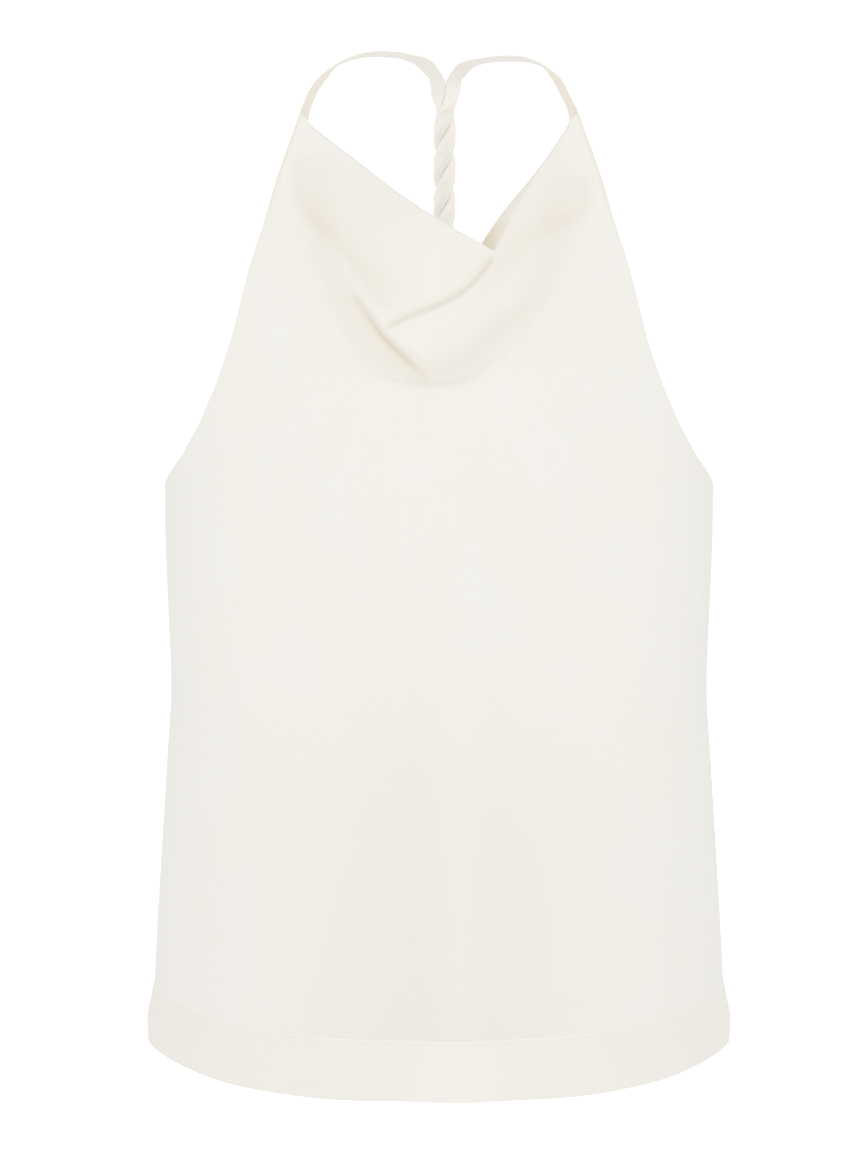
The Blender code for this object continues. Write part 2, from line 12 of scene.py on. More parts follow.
# %% Load the model
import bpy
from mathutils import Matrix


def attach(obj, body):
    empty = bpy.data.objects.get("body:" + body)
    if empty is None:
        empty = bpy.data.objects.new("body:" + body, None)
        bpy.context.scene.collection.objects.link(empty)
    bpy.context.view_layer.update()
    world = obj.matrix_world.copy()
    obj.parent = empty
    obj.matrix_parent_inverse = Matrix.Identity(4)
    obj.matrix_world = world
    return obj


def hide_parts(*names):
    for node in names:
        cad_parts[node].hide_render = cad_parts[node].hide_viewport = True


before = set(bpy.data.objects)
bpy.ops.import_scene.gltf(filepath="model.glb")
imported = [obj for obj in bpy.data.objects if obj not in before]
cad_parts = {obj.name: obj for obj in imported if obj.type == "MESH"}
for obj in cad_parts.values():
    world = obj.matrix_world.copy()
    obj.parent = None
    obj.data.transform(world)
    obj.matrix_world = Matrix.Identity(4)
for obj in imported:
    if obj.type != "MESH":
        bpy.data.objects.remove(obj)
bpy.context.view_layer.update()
print("solids:", ", ".join(sorted(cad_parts)))

# %% Tools
import math

import bmesh
import bpy
import numpy as np
from mathutils import Vector

scene = bpy.context.scene

# %% [markdown]
# ## The camera
#
# The photograph is taken from straight in front with a long lens, a little above the blouse and tilted
# down by six degrees. A long lens keeps the straps at the back nearly as large as the cloth in front. The
# picture is upright, so the sensor's 36 mm are its height.

# %% Place the camera
CAMERA_AT = (-0.0044, -2.2, -0.095)
CAMERA_TILT = math.radians(90 - 6.1)
LENS_MM = 108.6

camera = bpy.data.objects.new("camera", bpy.data.cameras.new("camera"))
camera.data.lens = LENS_MM
camera.data.sensor_width = 36
camera.data.clip_end = 50
camera.location = CAMERA_AT
camera.rotation_euler = (CAMERA_TILT, 0, 0)
scene.collection.objects.link(camera)
scene.camera = camera
print("camera looks down by", round(90 - math.degrees(CAMERA_TILT), 1), "degrees")

# %% [markdown]
# ## Curves through tables
#
# A dressmaker works from measurements: how wide and how deep the body is at a few heights. The same is
# done here. Each table has a row for each height or point, and the curves below read any place between
# the rows. `smooth` never swings past its rows, so a waist doesn't bulge between two measurements.

# %% Read between a table's rows


def smooth(table, at):
    """The table's columns at places in its first column."""
    rows = np.array(sorted(table), float)
    places, values = rows[:, 0], rows[:, 1:]
    span = np.diff(places)
    slope = np.diff(values, axis=0) / span[:, None]
    before, after = slope[:-1], slope[1:]
    total = np.where(np.abs(before + after) > 0, before + after, 1.0)
    tangent = np.vstack([slope[:1], np.where(before * after > 0, 2 * before * after / total, 0), slope[-1:]])
    at = np.clip(np.asarray(at, float), places[0], places[-1])
    i = np.clip(np.searchsorted(places, at) - 1, 0, len(span) - 1)
    t = ((at - places[i]) / span[i])[..., None]
    wide = span[i][..., None]
    return (
        values[i] * (1 + 2 * t) * (1 - t) ** 2
        + values[i + 1] * (3 - 2 * t) * t**2
        + tangent[i] * wide * t * (1 - t) ** 2
        - tangent[i + 1] * wide * (1 - t) * t**2
    )


def walk(points):
    """How far along a line of points each one lies."""
    return np.concatenate([[0], np.cumsum(np.linalg.norm(np.diff(points, axis=0), axis=-1))])


def unit(vectors):
    """The same directions, one long."""
    return vectors / np.maximum(np.linalg.norm(vectors, axis=-1, keepdims=True), 1e-12)


def curve(points, cells):
    """A smooth curve through the points, cut into even cells."""
    points = np.array(points, float)
    knots = np.vstack([2 * points[0] - points[1], points, 2 * points[-1] - points[-2]])
    t = np.linspace(0, 1, 24, endpoint=False)[:, None]
    pieces = []
    for a, b, c, d in zip(knots, knots[1:], knots[2:], knots[3:]):
        square = a - 2.5 * b + 2 * c - d / 2
        cube = 1.5 * (b - c) + (d - a) / 2
        pieces.append(b + (c - a) * t / 2 + square * t**2 + cube * t**3)
    dense = np.vstack([*pieces, points[-1:]])
    walked = walk(dense)
    at = np.linspace(0, walked[-1], cells + 1)
    return np.stack([np.interp(at, walked, column) for column in dense.T], axis=1)


def ease(t):
    """0 below 0, 1 above 1, and a smooth step between."""
    t = np.clip(t, 0, 1)
    return t * t * (3 - 2 * t)


def beside(path, x, height):
    """Each place's distance from the path, positive on its right, and its share of the way along."""
    shape = np.shape(x)
    x, height = np.ravel(x), np.ravel(height)
    nearest, side, share = np.full(len(x), np.inf), np.ones(len(x)), np.zeros(len(x))
    for k, (start, end) in enumerate(zip(path, path[1:])):
        step = end - start
        off_x, off_z = x - start[0], height - start[1]
        along = np.clip((off_x * step[0] + off_z * step[1]) / np.sum(step**2), 0, 1)
        off_x, off_z = off_x - along * step[0], off_z - along * step[1]
        gap = np.hypot(off_x, off_z)
        nearer = gap < nearest
        nearest = np.where(nearer, gap, nearest)
        side = np.where(nearer, np.where(step[1] * off_x - step[0] * off_z < 0, -1, 1), side)
        share = np.where(nearer, (k + along) / (len(path) - 1), share)
    return (nearest * side).reshape(shape), share.reshape(shape)


print("halfway up a two row table:", smooth(((0, 1), (1, 3)), 0.5))

# %% [markdown]
# ## The body's measurements
#
# The blouse hangs straight from the bust to the hem, with a slight waist. A level slice through it is a
# full oval at the bust. Toward the hem nothing fills the cloth, so its front and back close in to a lens
# that is pinched at the two side seams. A place on the cloth is given by its girth, the distance round from
# the centre, and its height.

# %% Measurements
MEAN_RADIUS = 0.15
UNDERARM = -0.272
HEM_SEAM_SIDE = -0.5925
HEM_SEAM_FRONT = -0.6012
HEM_SIDE = -0.6325
HEM_FRONT = -0.6396
OVAL_FULLNESS = 0.15
LENS_POWER = 3.1
LENS_PINCH = 0.8
LENS_TOP = -0.300
LENS_FULL = -0.600

# height, half width, depth of the front, depth of the back
FIGURE = (
    (-0.640, 0.1867, 0.1270, 0.1090),
    (-0.618, 0.1875, 0.1270, 0.1090),
    (-0.594, 0.1836, 0.1245, 0.1070),
    (-0.553, 0.1811, 0.1225, 0.1060),
    (-0.500, 0.1775, 0.1205, 0.1050),
    (-0.450, 0.1741, 0.1195, 0.1030),
    (-0.397, 0.1709, 0.1200, 0.1010),
    (-0.345, 0.1724, 0.1215, 0.1010),
    (-0.294, 0.1738, 0.1225, 0.1030),
    (-0.272, 0.1738, 0.1215, 0.1040),
    (-0.200, 0.1720, 0.1160, 0.1045),
    (-0.150, 0.1690, 0.1080, 0.1040),
    (-0.100, 0.1670, 0.0940, 0.1000),
    (-0.035, 0.1650, 0.0720, 0.0900),
)

# The front's armhole edge: height, half width
ARMHOLE = (
    (-0.2720, 0.1738),
    (-0.2676, 0.1718),
    (-0.2527, 0.1618),
    (-0.2394, 0.1536),
    (-0.2265, 0.1465),
    (-0.2139, 0.1408),
    (-0.2015, 0.1354),
    (-0.1770, 0.1269),
    (-0.1526, 0.1205),
    (-0.1285, 0.1140),
    (-0.1043, 0.1060),
    (-0.0801, 0.0990),
    (-0.0559, 0.0906),
    (-0.0388, 0.0846),
)


def section(turn, height):
    """The share of the full depth that the cloth reaches at a turn round a level slice."""
    across = np.abs(np.sin(turn))
    oval = np.cos(turn) * (1 + OVAL_FULLNESS * across**2)
    lens = (1 - across**LENS_POWER) ** LENS_PINCH
    return oval + (lens - oval) * ease((LENS_TOP - height) / (LENS_TOP - LENS_FULL))


def girth_of(x, height):
    """How far round the body a place at x lies."""
    half_width = smooth(FIGURE, height)[..., 0]
    return MEAN_RADIUS * np.arcsin(np.clip(x / half_width, -1, 1))


def full_girth(cells):
    """Even steps from side seam to side seam."""
    return MEAN_RADIUS * np.linspace(-math.pi / 2, math.pi / 2, cells + 1)


def hem_drop(girth, side, middle):
    """The height of a level cut line, which hangs lower at the centre front."""
    return side + (middle - side) * np.cos(girth / MEAN_RADIUS) ** 2


print("the blouse is", round(2 * FIGURE[1][1] * 1000), "mm wide at the hem")

# %% [markdown]
# ## The cowl
#
# A cowl is cloth to spare between the straps. The spare cloth swings out from the chest in a deep U, and its
# lower edge is a full, soft roll. The neckline is slanted, with its low point right of the centre, and that
# pulls the spare cloth into two sharp creases and a few soft valleys. They could come from a cloth
# simulation, but its folds would land anywhere. Here each one is laid along its own path, like a fold pressed
# in with a finger: soft on one side, short and sharp on the other, and uneven in depth.

# %% The swag that hangs off the chest
SWAG_LIFT = 0.021
SWAG_HALF_WIDTH = 0.098
SWAG_TOP = -0.040
SWAG_FULL = -0.115
SWAG_ROLL_MIDDLE = 0.027
SWAG_ROLL_SIDE = 0.048
SWAG_SIDE_FADE = 1.3
# How strong the painted shade is on the roll's slope, over the cowl's inside and in a thin dark rim at the
# U's bottom, and the rim's width
SLOPE_PAINTED_SHADE = 0.14
COWL_PAINTED_SHADE = 0.09
RIM_PAINTED_SHADE = 0.16
RIM_WIDTH = 0.0022

# The U that the swag ends in: x, height
SWAG_EDGE = (
    (-0.0860, -0.0450),
    (-0.0915, -0.0680),
    (-0.0931, -0.0922),
    (-0.0909, -0.1223),
    (-0.0843, -0.1404),
    (-0.0735, -0.1603),
    (-0.0631, -0.1768),
    (-0.0518, -0.1906),
    (-0.0368, -0.1978),
    (-0.0206, -0.2014),
    (0.0004, -0.2026),
    (0.0190, -0.1990),
    (0.0352, -0.1876),
    (0.0501, -0.1774),
    (0.0639, -0.1679),
    (0.0743, -0.1560),
    (0.0881, -0.1253),
    (0.0910, -0.1012),
    (0.0905, -0.0700),
    (0.0860, -0.0450),
)


def swag(x, height):
    """How far the cowl hangs off the chest, in a full roll along the bottom of the U that dies out at its
    sides, and its painted shade: on the roll's slope, over the whole cowl, and in a thin dark rim along the
    U's bottom."""
    outside, _ = beside(curve(SWAG_EDGE, 60), x, height)
    sideways = np.clip(np.abs(x) / SWAG_HALF_WIDTH, 0, 1)
    roll = SWAG_ROLL_MIDDLE + (SWAG_ROLL_SIDE - SWAG_ROLL_MIDDLE) * sideways**2
    t = np.clip(-outside / roll, 0, 1)
    round_edge = 1 - (1 - t) ** 2
    edge = round_edge + (ease(t) - round_edge) * np.maximum(sideways, 0.1)
    hang = ease((SWAG_TOP - height) / (SWAG_TOP - SWAG_FULL))
    # Painted shade of the roll's slope, the cowl's inside and the dark rim at the U's bottom
    rim = RIM_PAINTED_SHADE * np.exp(-((outside / RIM_WIDTH) ** 2)) * (1 - sideways)
    painted_shade = SLOPE_PAINTED_SHADE * np.sin(math.pi * t) ** 2 + COWL_PAINTED_SHADE * ease(2 * t) + rim
    return SWAG_LIFT * (1 - sideways**2) ** SWAG_SIDE_FADE * hang * edge, hang * painted_shade


# %% The folds laid into it
# A fold is `depths` deep near its start, at its middle and near its end, and dies out at both ends. It falls
# away over `left` and `right` of its path and has a raised lip on its right. A ridge has depths below 0. Its
# `shade` is how strong the painted warm shade in its bed is, and below 0 it is a painted highlight.
FOLD_END = 0.09
FOLDS = (
    dict(
        name="crease under the upper flap",
        path=((-0.0340, -0.1690), (-0.0204, -0.1620), (-0.0086, -0.1573), (0.0033, -0.1525),
              (0.0152, -0.1454), (0.0241, -0.1365), (0.0300, -0.1288), (0.0330, -0.1225)),
        depths=(0.0019, 0.0020, 0.0017), left=0.0025, right=0.0022, lip=0.0012, shade=0.30,
    ),
    dict(
        name="deep crease",
        path=((-0.0020, -0.2015), (-0.0086, -0.1982), (-0.0205, -0.1863), (-0.0325, -0.1748),
              (-0.0420, -0.1626), (-0.0549, -0.1454)),
        depths=(0.0008, 0.0040, 0.0014), left=0.0038, right=0.0038, lip=0.0018, shade=0.58,
    ),
    dict(
        name="long valley on the left",
        path=((-0.0850, -0.0600), (-0.0862, -0.0844), (-0.0787, -0.0994), (-0.0625, -0.1147),
              (-0.0513, -0.1271), (-0.0406, -0.1383), (-0.0329, -0.1507), (-0.0300, -0.1590)),
        depths=(0.0018, 0.0028, 0.0014), left=0.010, right=0.008, lip=0.0004, shade=0.28,
    ),
    dict(
        name="small ridge by the deep crease",
        path=((-0.0530, -0.1370), (-0.0420, -0.1510), (-0.0310, -0.1660)),
        depths=(-0.0005, -0.0016, -0.0010), left=0.006, right=0.006, lip=0.0, shade=0.0,
    ),
    dict(
        name="ridge across the right side",
        path=((-0.0220, -0.1720), (0.0182, -0.1620), (0.0419, -0.1513), (0.0627, -0.1395),
              (0.0900, -0.1150)),
        depths=(-0.0012, -0.0016, -0.0005), left=0.014, right=0.015, lip=0.0, shade=0.0,
    ),
    dict(
        name="valley across the right side",
        path=((0.0211, -0.1484), (0.0380, -0.1300), (0.0519, -0.1147), (0.0700, -0.1040),
              (0.0868, -0.0952), (0.0885, -0.0720)),
        depths=(0.0005, 0.0018, 0.0020), left=0.010, right=0.011, lip=0.0, shade=0.24,
    ),
    dict(
        name="bright face of the pouch",
        path=((-0.0255, -0.1705), (-0.0160, -0.1790), (-0.0060, -0.1860), (0.0010, -0.1950)),
        depths=(-0.0008, -0.0010, -0.0004), left=0.008, right=0.004, lip=0.0, shade=-0.14,
    ),
)


def fold(row, x, height):
    """How far one fold goes in, and its painted shade: a soft slope on its left, a short one and a lip on its
    right."""
    signed, share = beside(curve(row["path"], 32), x, height)
    start, middle, end = row["depths"]
    depth = smooth(((0, start), (0.5, middle), (1, end)), share)[..., 0]
    depth = depth * ease(share / FOLD_END) * ease((1 - share) / FOLD_END)
    left = np.clip(1 + signed / (3 * row["left"]), 0, 1) ** 3
    right = 1 - ease(signed / row["right"])
    lip = ease(signed / row["right"]) * np.clip(1 - (signed - row["right"]) / (5 * row["right"]), 0, 1) ** 2
    fade = np.sin(math.pi * np.clip(share, 0, 1)) ** 0.5
    bed = np.where(signed < 0, left, right)
    # Painted shade in the fold's bed, or a painted highlight where the shade is below 0
    painted_shade = row["shade"] * bed * depth / middle
    return depth * bed - row["lip"] * fade * np.where(signed > 0, lip, 0), painted_shade


print(len(FOLDS), "folds in the cowl")

# %% [markdown]
# ## Soft drapes of the body
#
# Below the bust the satin hangs free. It opens toward the hem in wide, shallow waves that only show as a
# change of light. The front has a ridge near its centre between two hollows, and the back gets similar ones
# of its own. The hollows also get a pale grey painted shade, lighter on the ridge.

# %% Upright waves
# x at the top, x at the hem, top height, full height, rise, half width
FRONT_DRAPES = (
    (0.008, 0.011, -0.430, -0.560, 0.0022, 0.016),
    (-0.018, -0.024, -0.450, -0.570, -0.0020, 0.022),
    (0.040, 0.046, -0.450, -0.580, -0.0018, 0.022),
    (-0.105, -0.125, -0.380, -0.560, 0.0018, 0.022),
    (0.120, 0.135, -0.400, -0.560, 0.0016, 0.020),
)
BACK_DRAPES = (
    (-0.010, -0.020, -0.330, -0.560, 0.0022, 0.024),
    (0.045, 0.060, -0.350, -0.580, -0.0020, 0.022),
    (-0.070, -0.085, -0.330, -0.560, -0.0018, 0.024),
    (0.105, 0.120, -0.340, -0.570, 0.0018, 0.020),
    (-0.125, -0.135, -0.380, -0.570, 0.0015, 0.018),
)


# Pulls in the back, in the same measures as the cowl's folds
BACK_FOLDS = (
    dict(
        name="pull from the straps to the left",
        path=((-0.0060, -0.2200), (-0.0190, -0.2460), (-0.0420, -0.2800), (-0.0760, -0.3120)),
        depths=(0.0012, 0.0018, 0.0006), left=0.0080, right=0.0060, lip=0.0005, shade=0.22,
    ),
    dict(
        name="pull from the straps to the right",
        path=((0.0070, -0.2220), (0.0230, -0.2560), (0.0340, -0.2970), (0.0390, -0.3400)),
        depths=(0.0010, 0.0015, 0.0005), left=0.0070, right=0.0085, lip=0.0003, shade=0.18,
    ),
    dict(
        name="valley under the right arm",
        path=((0.1440, -0.2980), (0.1210, -0.3200), (0.0950, -0.3370), (0.0680, -0.3470)),
        depths=(0.0006, 0.0015, 0.0005), left=0.0110, right=0.0090, lip=0.0003, shade=0.15,
    ),
    dict(
        name="valley under the left arm",
        path=((-0.1480, -0.3080), (-0.1230, -0.3400), (-0.0930, -0.3640)),
        depths=(0.0006, 0.0012, 0.0004), left=0.0100, right=0.0100, lip=0.0002, shade=0.13,
    ),
)


def laid(rows, x, height):
    """How far a table's folds go in together, and their painted shade."""
    depth, painted_shade = np.zeros_like(x), np.zeros_like(x)
    for row in rows:
        sunk, fold_painted_shade = fold(row, x, height)
        depth, painted_shade = depth + sunk, painted_shade + fold_painted_shade
    return depth, painted_shade


def drapes(rows, x, height):
    """Shallow upright waves, which open toward the hem."""
    rise = np.zeros_like(x)
    for top_x, hem_x, top, full, wave, half_width in rows:
        down = np.clip((top - height) / (top - full), 0, 1.5)
        middle = top_x + (hem_x - top_x) * down
        rise += wave * ease(down) * np.exp(-(((x - middle) / half_width) ** 2))
    return rise


# height, how strong the painted shade is in the hollow between the drapes
HOLLOW = (
    (-0.604, 1.00),
    (-0.590, 0.94),
    (-0.567, 0.84),
    (-0.530, 0.82),
    (-0.490, 0.74),
    (-0.446, 0.60),
    (-0.400, 0.26),
    (-0.360, 0.00),
)
HOLLOW_HALF_WIDTH = 0.075
RIDGE_HALF_WIDTH = 0.015
RIDGE_LIGHT = 0.55
SIDE_SHADE = 0.04


def hollow(x, height, ridge_x):
    """The painted pale grey shade of the broad hollow that the drapes leave on both sides of their middle
    ridge, lighter on the ridge.
    """
    broad = np.exp(-((x / HOLLOW_HALF_WIDTH) ** 2))
    ridge = np.exp(-(((x - ridge_x) / RIDGE_HALF_WIDTH) ** 2))
    across = SIDE_SHADE + (1 - SIDE_SHADE) * broad * (1 - RIDGE_LIGHT * ridge)
    return smooth(HOLLOW, height)[..., 0] * across


# %% [markdown]
# ## The two faces of the cloth
#
# With the form settled, a function gives the point on the front or back for any girth and height. It also
# notes two painted shades for the finish. The first is a warm painted shade: deep in a fold satin takes on a
# golden tone, where light reaches it only by way of other cloth. The second is a pale grey painted shade in
# the hollows between drapes.

# %% Front face and back face
# The armhole edge curls back where the strap pulls it, and a painted warm shade stands for the shade of that
# curl.
EDGE_PAINTED_SHADE = 0.40
EDGE_WIDTH = 0.0034
EDGE_FROM = -0.130
EDGE_RISE = 0.060
FRONT_RIDGE = 0.012
BACK_RIDGE = -0.018


def front_face(girth, height):
    """Points of the front's outer face, and each one's painted warm shade and painted hollow shade, from 0 to
    1.
    """
    turn = girth / MEAN_RADIUS
    half_width, depth, _ = np.moveaxis(smooth(FIGURE, height), -1, 0)
    x = half_width * np.sin(turn)
    hanging, painted_shade = swag(x, height)
    from_edge = smooth(ARMHOLE, height)[..., 0] - np.abs(x)
    # Painted warm shade along the armhole edge near the straps
    painted_shade = painted_shade + EDGE_PAINTED_SHADE * ease(1 - from_edge / EDGE_WIDTH) * ease((height - EDGE_FROM) / EDGE_RISE)
    sunk, fold_painted_shade = laid(FOLDS, x, height)
    out = depth * section(turn, height) + hanging + drapes(FRONT_DRAPES, x, height) - sunk
    shades = np.stack([np.clip(painted_shade + fold_painted_shade, 0, 1), hollow(x, height, FRONT_RIDGE)], axis=-1)
    return np.stack([x, -out, height], axis=-1), shades


def back_face(girth, height):
    """Points of the back's outer face, and each one's painted shades."""
    turn = girth / MEAN_RADIUS
    half_width, _, depth = np.moveaxis(smooth(FIGURE, height), -1, 0)
    x = half_width * np.sin(turn)
    sunk, painted_shade = laid(BACK_FOLDS, x, height)
    out = depth * section(turn, height) + drapes(BACK_DRAPES, x, height) - sunk
    shades = np.stack([np.clip(painted_shade, 0, 1), hollow(x, height, BACK_RIDGE)], axis=-1)
    return np.stack([x, out, height], axis=-1), shades


# %% [markdown]
# ## Sheets of cloth
#
# A piece of cloth is woven on a grid, and a grid of points is also the simplest way to model it. Each piece
# here is one or more grids, sewn together where their edges meet. The grid carries two things besides its
# points: the place of each point on the flat cloth, in metres, so that the weave keeps its size and follows
# the folds, and the two painted shades.

# %% Turn grids into a piece


def grid_normals(points):
    """The outward direction at each point of a grid of rows."""
    along = np.gradient(points, axis=1)
    up = np.gradient(points, axis=0)
    return unit(np.cross(along, up))


def cloth_piece(name, grids):
    """One object from grids of (points, flat places, shades), sewn together where they touch."""
    points, places, painted_shades, faces = [], [], [], []
    count = 0
    for grid, flat, shades in grids:
        rows, columns, _ = grid.shape
        number = np.arange(rows * columns).reshape(rows, columns) + count
        quads = np.stack([number[:-1, :-1], number[:-1, 1:], number[1:, 1:], number[1:, :-1]], axis=-1)
        faces.append(quads.reshape(-1, 4))
        points.append(grid.reshape(-1, 3))
        places.append(flat.reshape(-1, 2))
        painted_shades.append(shades.reshape(-1, 2))
        count += rows * columns
    points, places, painted_shades, faces = (np.concatenate(part) for part in (points, places, painted_shades, faces))
    mesh = bpy.data.meshes.new(name)
    mesh.from_pydata(points.tolist(), [], faces.tolist())
    mesh.uv_layers.new(name="cloth").data.foreach_set("uv", places[faces.ravel()].astype(np.float32).ravel())
    for shade, values in zip(("warm_shade", "hollow_shade"), painted_shades.T.astype(np.float32)):
        mesh.attributes.new(shade, "FLOAT", "POINT").data.foreach_set("value", values.copy())
    sewn = bmesh.new()
    sewn.from_mesh(mesh)
    bmesh.ops.remove_doubles(sewn, verts=sewn.verts, dist=2e-6)
    sewn.to_mesh(mesh)
    sewn.free()
    mesh.shade_smooth()
    piece = bpy.data.objects.new(name, mesh)
    scene.collection.objects.link(piece)
    print(name, "has", 2 * len(mesh.polygons), "triangles")
    return piece


# %% [markdown]
# ## The front
#
# The front is one cut piece from the hem to the straps. Its rows rise evenly up the body, and above the
# underarm they bend with the armholes. The neckline is cut on a slant and turned in: a narrow turning on the
# left, and right of the dip an open roll that shows its inner side, which is painted in a warm shade.
#
# The armhole edges and side seams are turned in as well. A raw edge would look like paper, so the sheet
# runs round a small roll and back along its own inner side for a few millimetres, as a sewn turning does.

# %% The neckline
LEFT_SHARE, RIGHT_SHARE, SEAM_SHARE = 25, 17, 1

NECK_LEFT = (
    (-0.0796, -0.0428),
    (-0.0786, -0.0462),
    (-0.0663, -0.0560),
    (-0.0478, -0.0700),
    (-0.0236, -0.0884),
    (0.0004, -0.1040),
    (0.0242, -0.1175),
    (0.0335, -0.1226),
)
NECK_RIGHT = (
    (0.0335, -0.1226),
    (0.0394, -0.1112),
    (0.0457, -0.0982),
    (0.0536, -0.0845),
    (0.0646, -0.0682),
    (0.0734, -0.0548),
    (0.0784, -0.0468),
    (0.0794, -0.0426),
)
# share of the top edge, then the bend's and the end's offset in x, y and height
NECK_RETURN = (
    (0.00, 0.0000, 0.0022, 0.0002, 0.0000, 0.0044, 0.0000),
    (0.55, 0.0000, 0.0022, 0.0003, 0.0000, 0.0046, -0.0008),
    (0.62, -0.0040, 0.0040, 0.0005, -0.0130, 0.0095, -0.0045),
    (0.70, -0.0030, 0.0040, 0.0008, -0.0095, 0.0080, -0.0035),
    (0.80, -0.0010, 0.0030, 0.0008, -0.0035, 0.0062, -0.0020),
    (0.90, -0.0002, 0.0024, 0.0005, -0.0010, 0.0048, -0.0010),
    (1.00, 0.0000, 0.0022, 0.0002, 0.0000, 0.0044, 0.0000),
)


def top_edge(fineness):
    """The front's top edge from the left strap seam over the dip to the right one, as girth and height."""
    apex_height, apex_half = ARMHOLE[-1]
    left = curve(NECK_LEFT, LEFT_SHARE * fineness)
    right = curve(NECK_RIGHT, RIGHT_SHARE * fineness)
    seam = SEAM_SHARE * fineness
    first = np.linspace((-apex_half, apex_height), left[0], seam + 1)
    last = np.linspace(right[-1], (apex_half, apex_height), seam + 1)
    edge = np.vstack([first, left[1:], right[1:], last[1:]])
    return np.stack([girth_of(edge[:, 0], edge[:, 1]), edge[:, 1]], axis=1)


def armhole_edge(cells):
    """The left armhole edge upward from the underarm, as girth and height in even steps."""
    heights, half_widths = np.array(ARMHOLE).T
    return curve(np.stack([girth_of(-half_widths, heights), heights], axis=1), cells)


def cowl_rows(top, side):
    """Rows of places between the underarm line, the armhole edges and the top edge."""
    across = np.linspace(0, 1, len(top))[None]
    even = np.linspace(0, 1, len(side))[:, None]
    climbed = ((side[:, 1] - UNDERARM) / (side[-1, 1] - UNDERARM))[:, None]
    up = climbed + (even - climbed) * np.sin(math.pi * across) ** 2
    height = UNDERARM + up * (top[:, 1] - UNDERARM)
    straight = (1 - even) * full_girth(len(top) - 1) + even * top[:, 0]
    pulled_in = side[:, :1] - straight[:, :1]
    return np.stack([straight + pulled_in * (1 - 2 * across), height], axis=-1)


# Shares of the top edge where the roll opens, where its fuller part ends and where it has closed, for the
# painted shade on its inner side
ROLL_OPENS, ROLL_FULL_TO, ROLL_CLOSED = 0.575, 0.71, 0.92


def open_roll(share):
    """How strong the painted shade on the inner side of the neckline's roll is at a share of the top edge, by
    how far the roll stands open.
    """
    from_dip = ease((share - ROLL_OPENS) / 0.02) * ease((ROLL_CLOSED - share) / 0.12)
    return from_dip * (0.35 + 0.65 * ease((ROLL_FULL_TO - share) / 0.08))


def neck_return(edge, rows):
    """The rows that turn in from the neckline."""
    offsets = smooth(NECK_RETURN, np.linspace(0, 1, len(edge)))
    bend, end = offsets[:, :3], offsets[:, 3:]
    t = np.linspace(0, 1, rows + 1)[:, None, None]
    return edge[None] + 2 * t * (1 - t) * bend + t**2 * end


# %% Turned edges
ROLL = 0.0005
TURNING = 0.007
ROLL_STEPS = 4
TURNING_STEPS = 4


def turned_columns(points, first):
    """Columns that run round a small roll at a grid's side and back along its inner side."""
    side = points if first else points[:, ::-1]
    out = grid_normals(points)
    out = out if first else out[:, ::-1]
    inward = unit(side[:, 1] - side[:, 0])
    angle = np.linspace(0, math.pi, ROLL_STEPS + 1)[1:, None, None]
    centre = side[:, 0] - ROLL * out[:, 0]
    rolled = centre + ROLL * (np.cos(angle) * out[:, 0] - np.sin(angle) * inward)
    walked = np.linalg.norm(side[:, 1:24] - side[:, :1], axis=-1).mean(axis=0)
    picks = 1 + np.searchsorted(walked, np.linspace(0, TURNING, TURNING_STEPS + 1)[1:])
    picks = np.clip(picks, 1, 23)
    back = np.stack([side[:, k] - 2 * ROLL * out[:, k] for k in picks])
    columns = np.moveaxis(np.concatenate([rolled, back]), 0, 1)
    return columns[:, ::-1] if first else columns


def with_turnings(points, places, shades):
    """A grid with both its sides turned in."""
    left = turned_columns(points, True)
    right = turned_columns(points, False)
    steps = np.arange(1, left.shape[1] + 1) * 0.001
    left_places = places[:, :1] - np.stack([steps[::-1], 0 * steps], axis=-1)
    right_places = places[:, -1:] + np.stack([steps, 0 * steps], axis=-1)
    left_shades = np.repeat(shades[:, :1], left.shape[1], axis=1)
    right_shades = np.repeat(shades[:, -1:], left.shape[1], axis=1)
    return (
        np.concatenate([left, points, right], axis=1),
        np.concatenate([left_places, places, right_places], axis=1),
        np.concatenate([left_shades, shades, right_shades], axis=1),
    )


# %% Make the front
FRONT_FINENESS = 8
FRONT_BODY_ROWS = 64
FRONT_COWL_ROWS = 180
RETURN_ROWS = 6
RETURN_DEPTH = 0.006
TUCK = 0.004

cells = (2 * SEAM_SHARE + LEFT_SHARE + RIGHT_SHARE) * FRONT_FINENESS
girth = full_girth(cells)
seam_line = hem_drop(girth, HEM_SEAM_SIDE, HEM_SEAM_FRONT) - TUCK
up = np.linspace(0, 1, FRONT_BODY_ROWS + 1)[:, None]
body_height = seam_line + (UNDERARM - seam_line) * up
body = np.stack([np.broadcast_to(girth, body_height.shape), body_height], axis=-1)
cowl = cowl_rows(top_edge(FRONT_FINENESS), armhole_edge(FRONT_COWL_ROWS))
front_places = np.vstack([body, cowl[1:]])
front_points, front_shades = front_face(front_places[..., 0], front_places[..., 1])
turned_in = neck_return(front_points[-1], RETURN_ROWS)
turned = np.linspace(0, 1, RETURN_ROWS + 1)[:, None]
turned_places = front_places[-1] + (RETURN_DEPTH * turned)[..., None] * np.array([0, 1])
# Painted warm shade on the inner side of the open roll, growing toward the turning's inner end
turned_painted_shade = turned**0.5 * open_roll(np.linspace(0, 1, len(girth)))
turned_shades = np.stack([turned_painted_shade, 0 * turned_painted_shade], axis=-1)
front_cloth = cloth_piece(
    "front_cloth",
    [
        with_turnings(front_points, front_places, front_shades),
        (turned_in, turned_places, turned_shades),
    ],
)

